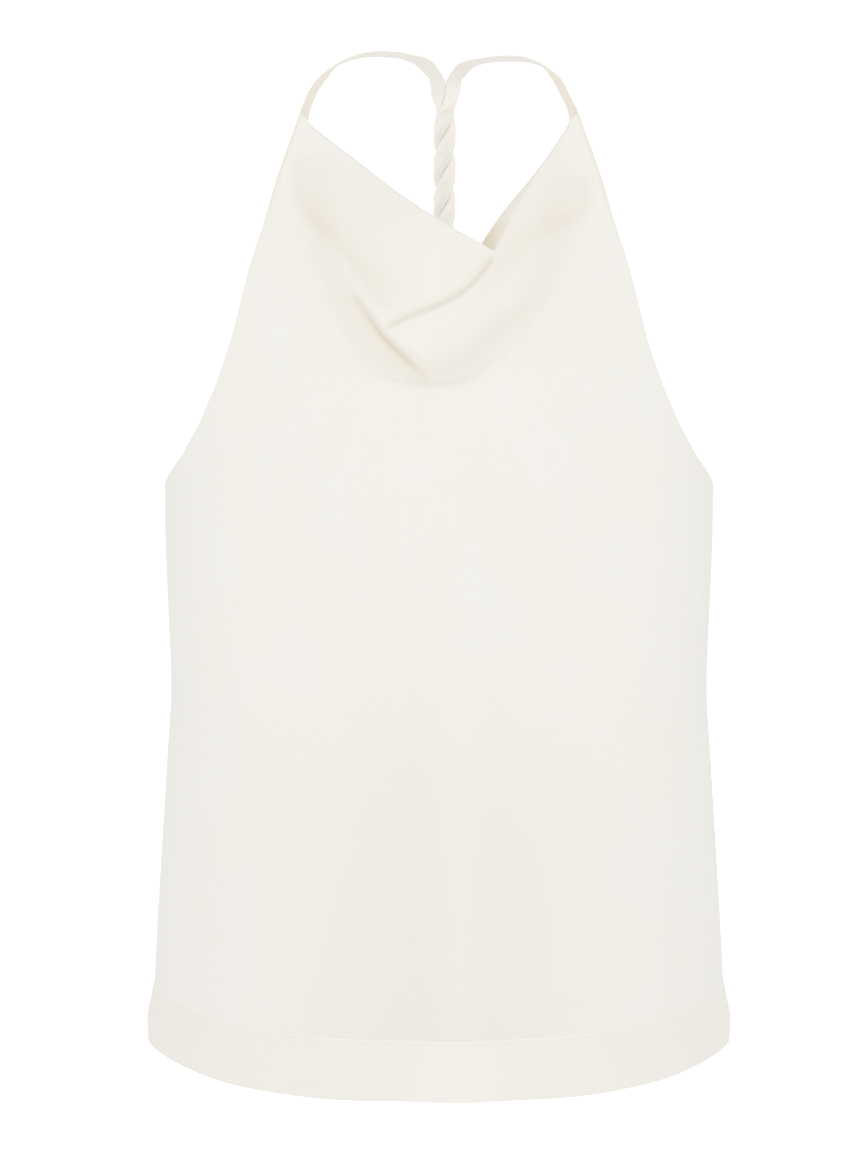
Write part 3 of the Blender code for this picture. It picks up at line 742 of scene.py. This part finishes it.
# %% [markdown]
# ## The back
#
# The back is low and straight under the arms, and rises to a small peak in the middle where the twisted
# straps are sewn on. Nothing of it shows in the photograph but the straps, so it is finished plainly, in the
# same way as the front. It gets a few soft pulls of its own, from the straps' foot and from under the arms.

# %% Make the back
BACK_PEAK = -0.2145
BACK_PEAK_SHARPNESS = 4
BACK_CELLS = 224
BACK_ROWS = 110


def top_turning(points, places, shades):
    """Rows that run round a small roll at a grid's top and back down along its inner side."""
    sideways = np.swapaxes(points, 0, 1)[::-1]
    columns = np.concatenate([sideways[:, -1:], turned_columns(sideways, False)], axis=1)
    rows = np.swapaxes(columns[::-1], 0, 1)
    steps = np.arange(len(rows))[:, None, None] * 0.001
    return rows, places[-1][None] + steps * np.array([0, 1]), np.repeat(shades[-1:], len(rows), axis=0)


back_girth = full_girth(BACK_CELLS)
rise = np.cos(back_girth / MEAN_RADIUS) ** BACK_PEAK_SHARPNESS
back_top = UNDERARM + (BACK_PEAK - UNDERARM) * rise
back_low = HEM_SEAM_SIDE - TUCK
up = np.linspace(0, 1, BACK_ROWS + 1)[:, None]
back_height = back_low + (back_top - back_low) * up
back_places = np.stack([np.broadcast_to(back_girth, back_height.shape), back_height], axis=-1)[:, ::-1]
back_points, back_shades = back_face(back_places[..., 0], back_places[..., 1])
back_grid = (back_points, back_places, back_shades)
back_cloth = cloth_piece("back_cloth", [with_turnings(*back_grid), top_turning(*back_grid)])

# %% [markdown]
# ## The hem bands
#
# The hem is a band of doubled cloth. It stands slightly proud of the body, so its top edge catches the light,
# and a painted highlight there makes a thin bright line. A row of stitches runs just below it. Each band is
# one sheet that starts under its top edge, rolls over it, runs down the outside, round the fold at the bottom
# and up inside.

# %% Make the bands
BAND_PROUD = 0.0007
BAND_HALF_WALL = 0.0009
BAND_ROWS = 26
FOLD_STEPS = 8
BAND_TOP_RADIUS = 0.0012
BAND_TUCKED = 0.0004
BAND_PIPE = 0.00018
BAND_PIPE_WIDTH = 0.0009
BAND_SHADE = 0.36
BAND_RIDGE_LIGHT = 0.4
TOP_LIGHT_WIDTH = 0.0019
STITCH_DROP = 0.0026


def band(name, face, cells, seam_middle, hem_middle, ridge_x, backwards):
    """A band of doubled cloth from its seam under the body down round the fold and up inside."""
    girth = full_girth(cells)
    if backwards:
        girth = girth[::-1]
    seam = hem_drop(girth, HEM_SEAM_SIDE, seam_middle)
    hem = hem_drop(girth, HEM_SIDE, hem_middle) + BAND_HALF_WALL
    rows = np.linspace(0, 1, BAND_ROWS + 1)[:, None]
    heights = hem + (seam - hem) * rows
    middle, _ = face(np.broadcast_to(girth, heights.shape), heights)
    out = grid_normals(middle)
    below = (seam - heights)[..., None]
    top_round = np.sqrt(np.clip(1 - np.clip(1 - below / BAND_TOP_RADIUS, 0, 1) ** 2, 0, 1))
    groove = BAND_PIPE * np.exp(-(((below - STITCH_DROP) / BAND_PIPE_WIDTH) ** 2))
    outer = middle + out * (BAND_PROUD * top_round - BAND_TUCKED * (1 - top_round) - groove)
    inner = middle - out * (2 * BAND_HALF_WALL - BAND_PROUD)
    down = np.array([0.0, 0.0, -1.0])
    angle = np.linspace(0, math.pi, FOLD_STEPS + 1)[1:-1, None, None]
    centre = (outer[0] + inner[0]) / 2
    half = np.linalg.norm(outer[0] - inner[0], axis=-1, keepdims=True) / 2
    turned = centre + half * (np.cos(angle) * out[0] + np.sin(angle) * down)
    points = np.concatenate([inner[::-1], turned[::-1], outer])
    walked = walk(points[:, 0])
    places = np.stack(np.broadcast_arrays(girth[None], walked[:, None]), axis=-1)
    # Painted shade over the band, weaker on its middle ridge and left out along its top edge, which leaves a
    # painted highlight there
    ridge = np.exp(-(((points[..., 0] - ridge_x) / (2 * RIDGE_HALF_WIDTH)) ** 2))
    top_edge_light = np.exp(-((seam - points[..., 2]) / TOP_LIGHT_WIDTH) ** 2)
    shade = BAND_SHADE * (1 - BAND_RIDGE_LIGHT * ridge) * (1 - top_edge_light)
    return cloth_piece(name, [(points, places, np.stack([0 * shade, shade], axis=-1))]), outer, out


band_front, band_front_outer, band_front_out = band(
    "band_front", front_face, 264, HEM_SEAM_FRONT, HEM_FRONT, FRONT_RIDGE, False
)
band_back, band_back_outer, band_back_out = band(
    "band_back", back_face, 200, HEM_SEAM_SIDE, HEM_SIDE, BACK_RIDGE, True
)

# %% [markdown]
# ## The straps
#
# A strap is a narrow tube of satin, turned right side out and pressed flat. It leaves the corner of the
# front, runs over the shoulder, and at the back of the neck the two tubes twist round each other down to
# the back's peak. In the twist each tube is squashed against the other, so it gets plump, and long fold
# lines run along it. The strap is made of rings: flat ones over the shoulder, then level ones that turn
# round the twist's axis.

# %% The straps' measurements
# x, y, height of the straps' middle lines, from their seams to the twist
STRAP_LEFT = (
    (-0.0813, -0.0600, -0.0362),
    (-0.0795, -0.0530, -0.0313),
    (-0.0768, -0.0440, -0.0249),
    (-0.0725, -0.0330, -0.0180),
    (-0.0668, -0.0200, -0.0112),
    (-0.0574, 0.0000, -0.0046),
    (-0.0440, 0.0210, -0.0004),
    (-0.0312, 0.0400, 0.0002),
    (-0.0210, 0.0530, -0.0006),
    (-0.0124, 0.0610, -0.0030),
    (-0.0054, 0.0672, -0.0080),
)
STRAP_RIGHT = (
    (0.0808, -0.0600, -0.0360),
    (0.0786, -0.0530, -0.0313),
    (0.0758, -0.0440, -0.0249),
    (0.0726, -0.0330, -0.0180),
    (0.0672, -0.0200, -0.0112),
    (0.0588, 0.0000, -0.0056),
    (0.0482, 0.0200, -0.0032),
    (0.0370, 0.0380, -0.0028),
    (0.0276, 0.0500, -0.0034),
    (0.0200, 0.0590, -0.0050),
    (0.0142, 0.0668, -0.0086),
)
# The way the right strap's outer face looks at these places (x, y, z), its width and its thickness. The
# left strap is its mirror image.
STRAP_FACES = (
    (0.40, -0.88, 0.25, 0.0068, 0.0021),
    (0.50, -0.80, 0.35, 0.0070, 0.0022),
    (0.54, -0.73, 0.42, 0.0079, 0.0022),
    (0.56, -0.60, 0.56, 0.0088, 0.0022),
    (0.62, -0.18, 0.76, 0.0094, 0.0020),
    (0.45, 0.10, 0.88, 0.0100, 0.0018),
    (0.22, 0.30, 0.93, 0.0100, 0.0018),
    (0.00, 0.45, 0.90, 0.0100, 0.0020),
    (-0.25, 0.55, 0.80, 0.0100, 0.0022),
    (-0.35, 0.75, 0.55, 0.0102, 0.0022),
    (-0.25, 0.93, 0.25, 0.0102, 0.0024),
)
RIBBON_STEPS = 110
STRAP_GIRTH = 0.024
# Painted shade on the strap's front, from its seam to FRONT_OF_STRAP, fading over FRONT_FADE
FRONT_OF_STRAP = 0.075
FRONT_FADE = 0.03
STRAP_FRONT_PAINTED_SHADE = 0.60
JOINT_SOFTNESS = 0.005
JOINT_PASSES = 8
PRESS = 0.0001
STRAP_SEAM_DEPTH = 0.0022

# The twist's axis by height, then the strands' size by the angle that they have turned
TWIST_AXIS = (
    (-0.2160, 0.0036, 0.1040),
    (-0.1600, 0.0038, 0.0995),
    (-0.1100, 0.0038, 0.0930),
    (-0.0600, 0.0038, 0.0840),
    (-0.0145, 0.0045, 0.0718),
)
TWIST_TOP = -0.0145
FIRST_CROSSING = -0.0374
HALF_TURN = 0.0236
TWIST_END = BACK_PEAK - 0.003
TWIST_STEP = math.radians(7.5)
STRAND_SIDES = 32
FLAT_ROUNDNESS = 0.62
OUTER_ROUNDNESS = 0.96
INNER_ROUNDNESS = 0.36
TWIST_LEAD = 20
TWIST_FADE = 0.02
FLAT_CREASES = 0.25
# How strong the painted shade is in the strands' fold lines and on their faces pressed against each other
CREASE_PAINTED_SHADE = 1.5
SEAM_PAINTED_SHADE = 0.60
PRESSED_FROM = 0.62
PRESSED_FADE = 0.3
# angle in degrees, thickness from the axis outwards, width round the axis
STRANDS = (
    (-90, 0.0102, 0.0026),
    (-60, 0.0094, 0.0056),
    (0, 0.0066, 0.0114),
    (90, 0.0074, 0.0112),
    (1170, 0.0074, 0.0108),
    (1290, 0.0076, 0.0080),
    (1370, 0.0070, 0.0060),
)


def seam_section(outer, inner):
    """The strap's first section, along the front's top edge from its outer to its inner corner."""
    along_seam = inner - outer
    width = np.linalg.norm(along_seam)
    along_seam /= width
    inward = np.array((0.0, 1.0, 0.0))
    centre = (outer + inner) / 2 + inward * STRAP_SEAM_DEPTH / 2 - np.array((0, 0, 0.0012))
    wide_way = along_seam * np.sign(along_seam[0])
    return centre[None], wide_way[None], -inward[None], np.array([[width, STRAP_SEAM_DEPTH]])


def ribbon_sections(stations, hand):
    """Centre, width direction and face direction of a strap's sections from above its seam to the twist."""
    rows = curve(np.hstack([stations, np.array(STRAP_FACES) * (hand, 1, 1, 1, 1)]), RIBBON_STEPS)
    centre, look, sizes = rows[:, :3], rows[:, 3:6], rows[:, 6:]
    along = unit(np.gradient(centre, axis=0))
    look = unit(look - along * np.sum(look * along, axis=1)[:, None])
    return centre, np.cross(along, look), look, sizes


def strand_angle(height):
    """How far a strand has turned at a height: slowly down to the first crossing, evenly below it."""
    rate = math.pi / HALF_TURN
    drop = TWIST_TOP - FIRST_CROSSING
    t = (height - FIRST_CROSSING) / drop
    slow = -rate * drop * t + (rate * drop - math.pi / 2) * t**2
    return np.where(height > FIRST_CROSSING, slow, -rate * (height - FIRST_CROSSING))


def strand_sections(hand):
    """Centre, two directions and two sizes of a strand's level sections down the twist."""
    heights = np.linspace(TWIST_TOP, TWIST_END, 4000)
    angles = strand_angle(heights)
    steps = round((angles[-1] - angles[0]) / TWIST_STEP)
    height = np.interp(np.linspace(angles[0], angles[-1], steps + 1), angles, heights)
    angle = strand_angle(height)
    thick, wide = smooth(STRANDS, np.degrees(angle)).T
    axis = smooth(TWIST_AXIS, height)
    through = np.stack([-np.sin(angle), -np.cos(angle), 0 * angle], axis=1)
    around = np.stack([np.cos(angle), -np.sin(angle), 0 * angle], axis=1)
    centre = np.column_stack([axis, height]) + hand * through * (thick / 2 - PRESS)[:, None]
    return centre, through, around, np.stack([thick, wide], axis=1)


# %% Make the straps
# Fold lines along a strap: where round the tube (in turns), how far that drifts, drift's length, depth, width
STRAP_CREASES = (
    (0.21, 0.05, 0.070, 0.035, 0.030),
    (0.36, 0.04, 0.110, 0.030, 0.026),
    (0.68, 0.05, 0.090, 0.035, 0.030),
    (0.84, 0.06, 0.060, 0.030, 0.026),
)


def strap(name, stations, hand, seam):
    """A strap from the front's seam, over the shoulder and down the twist."""
    stretches = (seam_section(*seam), ribbon_sections(stations, hand), strand_sections(hand))
    centre, wide_way, face_way, sizes = (np.vstack(parts) for parts in zip(*stretches))
    walked = walk(centre)
    twisted = ease((walked - walked[RIBBON_STEPS - TWIST_LEAD]) / TWIST_FADE)[:, None]
    turn = np.linspace(0, 1, STRAND_SIDES + 1)
    angle = turn * 2 * math.pi
    outside = np.where(hand * np.cos(angle) > 0, OUTER_ROUNDNESS, INNER_ROUNDNESS)
    power = FLAT_ROUNDNESS + (outside - FLAT_ROUNDNESS) * twisted
    wide = np.sign(np.cos(angle)) * np.abs(np.cos(angle)) ** power
    thick = np.sign(np.sin(angle)) * np.abs(np.sin(angle)) ** power
    pressed = ease((-hand * np.cos(angle) - PRESSED_FROM) / PRESSED_FADE) * twisted
    sunk = np.zeros((len(walked), len(turn)))
    for place, drift, length, depth, width in STRAP_CREASES:
        at = place + drift * np.sin(2 * math.pi * walked / length + 7 * place + hand)[:, None]
        apart = np.abs((turn[None] - at + 0.5) % 1 - 0.5)
        strength = 0.65 + 0.35 * np.sin(2 * math.pi * walked / (0.8 * length) + 3 * place)[:, None]
        sunk += depth * strength * np.exp(-((apart / width) ** 2))
    sunk = sunk * (FLAT_CREASES + (1 - FLAT_CREASES) * twisted)
    # Painted shade on the strap's front, in its fold lines and on the faces pressed against the other strand
    in_front = ease((FRONT_OF_STRAP - walked) / FRONT_FADE)[:, None]
    shade = STRAP_FRONT_PAINTED_SHADE * in_front + CREASE_PAINTED_SHADE * sunk + SEAM_PAINTED_SHADE * pressed
    grow = 1 - sunk
    width, thickness = sizes.T
    rings = (
        centre[:, None]
        + wide_way[:, None] * (width[:, None] / 2 * wide * grow)[..., None]
        + face_way[:, None] * (thickness[:, None] / 2 * thick * grow)[..., None]
    )
    rings[:, -1] = rings[:, 0]
    near_joint = np.exp(-(((walked - walked[RIBBON_STEPS + 1]) / JOINT_SOFTNESS) ** 2))[1:-1, None, None]
    for _ in range(JOINT_PASSES):
        rings[1:-1] += near_joint * ((rings[:-2] + rings[2:]) / 2 - rings[1:-1])
    places = np.stack(np.broadcast_arrays(turn[None] * STRAP_GIRTH, walked[:, None]), axis=-1)
    shades = np.stack([np.clip(shade, 0, 1), 0 * shade], axis=-1)
    piece = cloth_piece(name, [(rings[:, ::-1], places, shades[:, ::-1])])
    print(name, "is", round(walked[-1], 3), "m long")
    return piece


edge = front_points[-1]
left_seam = (edge[0], edge[FRONT_FINENESS])
right_seam = (edge[-1], edge[-1 - FRONT_FINENESS])
strap_left = strap("strap_left_tube", STRAP_LEFT, -1, left_seam)
strap_right = strap("strap_right_tube", STRAP_RIGHT, 1, right_seam)

# %% [markdown]
# ## Stitches
#
# One row of machine stitches holds the hem band. A stitch is a short length of thread that dips into the
# cloth at both ends, so it is modelled as a thin bent rod with its ends under the surface. The rods are laid
# end to end along the band.

# %% Sew the hem
STITCH = 0.0026
STITCH_GAP = 0.0006
THREAD_RADIUS = 0.00016


def stitches(name, line, out):
    """A row of stitches along a line that lies on the cloth."""
    walked = walk(line)
    count = int(walked[-1] / (STITCH + STITCH_GAP))
    starts = (np.arange(count) + 0.5) * walked[-1] / count - STITCH / 2
    shares = np.linspace(0, 1, 5)
    rods = []
    for start in starts:
        at = start + shares * STITCH
        centre = np.stack([np.interp(at, walked, column) for column in line.T], axis=1)
        normal = np.stack([np.interp(at, walked, column) for column in out.T], axis=1)
        lift = (np.sin(math.pi * shares) ** 0.6 * 1.3 - 0.9) * THREAD_RADIUS
        centre = centre + normal * lift[:, None]
        along = unit(np.gradient(centre, axis=0))
        aside = np.cross(along, normal)
        angle = np.linspace(0, 2 * math.pi, 6)
        ring = np.cos(angle)[None, :, None] * aside[:, None] + np.sin(angle)[None, :, None] * normal[:, None]
        rod = centre[:, None] + THREAD_RADIUS * ring
        flat = np.stack(np.broadcast_arrays(angle[None] * THREAD_RADIUS, at[:, None]), axis=-1)
        rods.append((rod[:, ::-1], flat, np.zeros(rod.shape[:2] + (2,))))
    return cloth_piece(name, rods)


def line_on(outer, out):
    """The line on a band where its stitches run."""
    drop = outer[-1, :, 2] - STITCH_DROP
    line, normal = [], []
    for column, level in enumerate(drop):
        heights = outer[:, column, 2]
        line.append([np.interp(level, heights, outer[:, column, k]) for k in range(3)])
        normal.append([np.interp(level, heights, out[:, column, k]) for k in range(3)])
    return np.array(line), np.array(normal)


hem_stitches_front = stitches("hem_stitches_front", *line_on(band_front_outer, band_front_out))
hem_stitches_back = stitches("hem_stitches_back", *line_on(band_back_outer, band_back_out))

# %% [markdown]
# ## The satin's weave
#
# Satin is woven with long floats: the warp threads lie on top for several crossings, so the face is smooth
# and shines along one direction. Close up it shows fine upright streaks and here and there a thicker thread.
# That effect is used by every satin piece, so it is built once as a node group. It reads the place on the
# flat cloth, in metres, and gives a colour, a roughness and a height for the bump. Into the colour it also
# mixes the two painted shades that the cloth carries.

# %% Build the weave group
IVORY = (0.892, 0.874, 0.826, 1)
# IVORY_BAND is paler than IVORY, so that the band's painted shade leaves a painted highlight along its top
# edge
IVORY_BAND = (0.950, 0.922, 0.880, 1)
IVORY_STRAP = (0.892, 0.866, 0.826, 1)
IVORY_THREAD = (0.90, 0.88, 0.83, 1)
# Colours of the painted shades: warm ones for the folds and the straps, grey ones for the drapes' hollows and
# the band
WARM_SHADE = (0.812, 0.718, 0.568, 1)
STRAP_PAINTED_SHADE = (0.745, 0.665, 0.530, 1)
HOLLOW_SHADE = (0.852, 0.818, 0.768, 1)
BAND_PAINTED_SHADE = (0.770, 0.732, 0.678, 1)


def fill(tree, node, values):
    """Set a node's inputs to numbers and colours, or link them to other nodes' outputs."""
    for name, value in values.items():
        if isinstance(value, bpy.types.NodeSocket):
            tree.links.new(value, node.inputs[name])
        else:
            node.inputs[name].default_value = value


def add(tree, kind, values, **settings):
    """A new node in a tree, with its settings made and its inputs filled."""
    node = tree.nodes.new("ShaderNode" + kind)
    for name, value in settings.items():
        setattr(node, name, value)
    fill(tree, node, values)
    return node


weave = bpy.data.node_groups.new("satin weave", "ShaderNodeTree")
for socket, kind, value in (
    ("Cloth", "Color", IVORY),
    ("Warm Shade", "Color", WARM_SHADE),
    ("Hollow Shade", "Color", HOLLOW_SHADE),
    ("Roughness", "Float", 0.4),
):
    made = weave.interface.new_socket(name=socket, in_out="INPUT", socket_type="NodeSocket" + kind)
    made.default_value = value
for socket, kind in (("Color", "Color"), ("Roughness", "Float"), ("Height", "Float")):
    weave.interface.new_socket(name=socket, in_out="OUTPUT", socket_type="NodeSocket" + kind)
given = weave.nodes.new("NodeGroupInput").outputs
flat_place = add(weave, "UVMap", {}, uv_map="cloth").outputs["UV"]


def threads(across, along, detail):
    """Noise on the flat cloth, stretched so that it draws threads."""
    place = add(weave, "Mapping", {"Vector": flat_place, "Scale": (across, along, 1)}).outputs["Vector"]
    return add(weave, "TexNoise", {"Vector": place, "Scale": 1, "Detail": detail}).outputs["Fac"]


def remap(value, low, high, to_low, to_high):
    """A value moved from one range to another, and held inside it."""
    ranges = {"Value": value, "From Min": low, "From Max": high, "To Min": to_low, "To Max": to_high}
    return add(weave, "MapRange", ranges).outputs["Result"]


def sum_of(first, second):
    """Two values added."""
    return add(weave, "Math", {0: first, 1: second}, operation="ADD").outputs["Value"]


def mix(share, first, second):
    """Two colours mixed by a share."""
    return add(weave, "Mix", {"Factor": share, "A": first, "B": second}, data_type="RGBA").outputs["Result"]


def painted(shade):
    """A painted shade that the cloth carries as an attribute."""
    return add(weave, "Attribute", {}, attribute_name=shade).outputs["Fac"]


floats = threads(2400, 420, 2)
wefts = threads(160, 1500, 2)
slubs = threads(240, 14, 3)
clouds = threads(22, 15, 3)

tint = sum_of(remap(floats, 0.3, 0.7, -0.015, 0.015), remap(slubs, 0.3, 0.7, -0.01, 0.01))
tint = sum_of(tint, remap(clouds, 0.3, 0.7, 0.0, 0.04))
# The painted warm shade, with the random tint, and then the painted hollow shade are mixed into the cloth's
# colour
share = remap(sum_of(tint, painted("warm_shade")), 0.0, 1.0, 0.0, 1.0)
with_painted_shade = mix(share, given["Cloth"], given["Warm Shade"])
shaded = mix(painted("hollow_shade"), with_painted_shade, given["Hollow Shade"])
rough = sum_of(given["Roughness"], remap(clouds, 0.3, 0.7, -0.03, 0.03))
rough = sum_of(rough, remap(floats, 0.3, 0.7, -0.04, 0.04))
height = sum_of(remap(floats, 0.2, 0.8, 0.0, 1.0), remap(wefts, 0.2, 0.8, 0.0, 0.35))
height = sum_of(height, remap(slubs, 0.4, 0.8, 0.0, 0.5))
fill(weave, weave.nodes.new("NodeGroupOutput"), {"Color": shaded, "Roughness": rough, "Height": height})
print("the weave group has", len(weave.nodes), "nodes")

# %% [markdown]
# ## Satin and thread
#
# The cloth is an ivory with a very slight warmth. Satin's shine is broad and soft, so the Principled shader
# gets a middling roughness, a little sheen for the fine fibres that catch light at grazing angles, and some
# anisotropy, because the floats all run one way. The hem band is doubled cloth, which lets less light through
# and looks a little rosier; its cloth colour is also paler, for the painted highlight along its top edge. The
# straps get a darker painted warm shade and a faint painted glow, which stands in for the light coming
# through the thin tubes. The thread is a touch lighter and shinier than the cloth.

# %% Make the finishes
SHEEN_TINT = (1.0, 0.98, 0.94, 1)


def satin(name, cloth, roughness, anisotropy, bump, warm=WARM_SHADE, painted_hollow_shade=HOLLOW_SHADE, glow=0.0):
    """An ivory satin, with the colours of its two painted shades and, where glow is set, a painted glow."""
    material = bpy.data.materials.new(name)
    material.use_nodes = True
    tree = material.node_tree
    colours = {"Cloth": cloth, "Warm Shade": warm, "Hollow Shade": painted_hollow_shade, "Roughness": roughness}
    group = add(tree, "Group", colours, node_tree=weave)
    relief = add(tree, "Bump", {"Height": group.outputs["Height"], "Distance": bump, "Strength": 0.5})
    finish = {
        "Base Color": group.outputs["Color"],
        "Roughness": group.outputs["Roughness"],
        "Normal": relief.outputs["Normal"],
        "Anisotropic": anisotropy,
        "Sheen Weight": 0.12,
        "Sheen Roughness": 0.4,
        "Sheen Tint": SHEEN_TINT,
        "Specular IOR Level": 0.42,
    }
    # A painted glow: the emission stands in for light that comes through the thin tubes
    if glow:
        finish |= {"Emission Color": cloth, "Emission Strength": glow}
    fill(tree, tree.nodes["Principled BSDF"], finish)
    return material


body_satin = satin("ivory satin", IVORY, 0.42, 0.35, 0.00004)
band_satin = satin("ivory satin, doubled", IVORY_BAND, 0.44, 0.30, 0.00004, painted_hollow_shade=BAND_PAINTED_SHADE)
# The straps get a darker painted warm shade and a painted glow
strap_satin = satin("ivory satin, on the bias", IVORY_STRAP, 0.45, 0.20, 0.00005, warm=STRAP_PAINTED_SHADE, glow=0.08)
thread = satin("ivory thread", IVORY_THREAD, 0.36, 0.0, 0.00002)
print("finishes:", body_satin.name, band_satin.name, strap_satin.name, thread.name, sep="\n  ")

# %% [markdown]
# ## Dress the model
#
# Each sheet takes the place of its solid.

# %% Replace the solids
PIECES = (
    (front_cloth, "front_panel", body_satin),
    (back_cloth, "back_panel", body_satin),
    (band_front, "hem_band_front", band_satin),
    (band_back, "hem_band_back", band_satin),
    (strap_left, "strap_left", strap_satin),
    (strap_right, "strap_right", strap_satin),
)
for piece, node, finish in PIECES:
    piece.data.materials.append(finish)
    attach(piece, "root")
    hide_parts(node)
    print(piece.name, "area", round(sum(face.area for face in piece.data.polygons), 4))
for row in (hem_stitches_front, hem_stitches_back):
    row.data.materials.append(thread)
    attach(row, "root")

# %% [markdown]
# ## Floor and light
#
# The photograph is a studio shot on pure white, lit from all round, so the folds show only as faint, warm
# shades. A white sweep, a floor that curves up into a wall, stands well below the blouse and far enough
# behind it that its back can be looked at too. A bright even world does most of the lighting. A key lamp
# above the camera makes the top a little brighter than the hem, and a lamp on each side fills the edges.
#
# Paper that is white enough for the camera would shine too much on the blouse. So the sweep's far part
# glows more for the camera than for the cloth, which only gets a weak, even fill from it.

# %% Build the studio
FLOOR = -1.10
WALL = 5.0
WALL_TOP = 5.0
SWEEP_FRONT = -6.0
SWEEP_SIDE = 7.0
SWEEP_RADIUS = 1.2
SWEEP_STEPS = 16
PAPER = (0.85, 0.85, 0.85, 1)
WHITE = (1.0, 1.0, 1.0, 1)
GLOW = 0.55
FILL = 0.19
GLOW_FROM = 0.5
GLOW_FULL = 1.3
WORLD_LIGHT = 0.83
MIDDLE = (0.0, 0.0, -0.3)
# name, place, what it looks at, size, power
LAMPS = (
    ("key", (0.0, -1.6, 0.75), (0.0, 0.0, -0.1), 1.3, 4.0),
    ("left", (-2.3, -1.2, -0.1), MIDDLE, 1.6, 3.1),
    ("right", (2.3, -1.2, -0.1), MIDDLE, 1.6, 3.1),
)

# The sweep's side view, from the floor in front up the curve to the wall behind
bend = [k * math.pi / 2 / SWEEP_STEPS for k in range(SWEEP_STEPS + 1)]
profile = [(SWEEP_FRONT, FLOOR)]
for angle in bend:
    across, up = SWEEP_RADIUS * math.sin(angle), SWEEP_RADIUS * (1 - math.cos(angle))
    profile.append((WALL - SWEEP_RADIUS + across, FLOOR + up))
profile.append((WALL, WALL_TOP))
corners = [(x, y, z) for y, z in profile for x in (-SWEEP_SIDE, SWEEP_SIDE)]
strips = [(2 * k, 2 * k + 1, 2 * k + 3, 2 * k + 2) for k in range(len(profile) - 1)]
sweep_mesh = bpy.data.meshes.new("studio_sweep")
sweep_mesh.from_pydata(corners, [], strips)
sweep_mesh.shade_smooth()
sweep = bpy.data.objects.new("studio_sweep", sweep_mesh)
scene.collection.objects.link(sweep)

paper = bpy.data.materials.new("white paper")
paper.use_nodes = True
tree = paper.node_tree
place = add(tree, "SeparateXYZ", {"Vector": add(tree, "TexCoord", {}).outputs["Object"]}).outputs
glow = {"Value": place["Y"], "From Min": GLOW_FROM, "From Max": GLOW_FULL, "To Max": GLOW}
camera_ray = add(tree, "LightPath", {}).outputs["Is Camera Ray"]
light = {"Value": camera_ray, "To Min": FILL, "To Max": add(tree, "MapRange", glow).outputs["Result"]}
paper_finish = {
    "Base Color": PAPER,
    "Roughness": 0.9,
    "Specular IOR Level": 0.1,
    "Emission Color": WHITE,
    "Emission Strength": add(tree, "MapRange", light).outputs["Result"],
}
fill(tree, tree.nodes["Principled BSDF"], paper_finish)
sweep_mesh.materials.append(paper)

for name, place, target, size, power in LAMPS:
    lamp = bpy.data.objects.new(name, bpy.data.lights.new(name, "AREA"))
    lamp.data.size = size
    lamp.data.energy = power
    lamp.location = place
    lamp.rotation_euler = (Vector(target) - Vector(place)).to_track_quat("-Z", "Y").to_euler()
    scene.collection.objects.link(lamp)

world = bpy.data.worlds.new("studio")
world.use_nodes = True
fill(world.node_tree, world.node_tree.nodes["Background"], {"Color": WHITE, "Strength": WORLD_LIGHT})
scene.world = world
scene.view_settings.view_transform = "Standard"
print("studio:", len(LAMPS), "lamps, wall", WALL, "m behind the blouse")
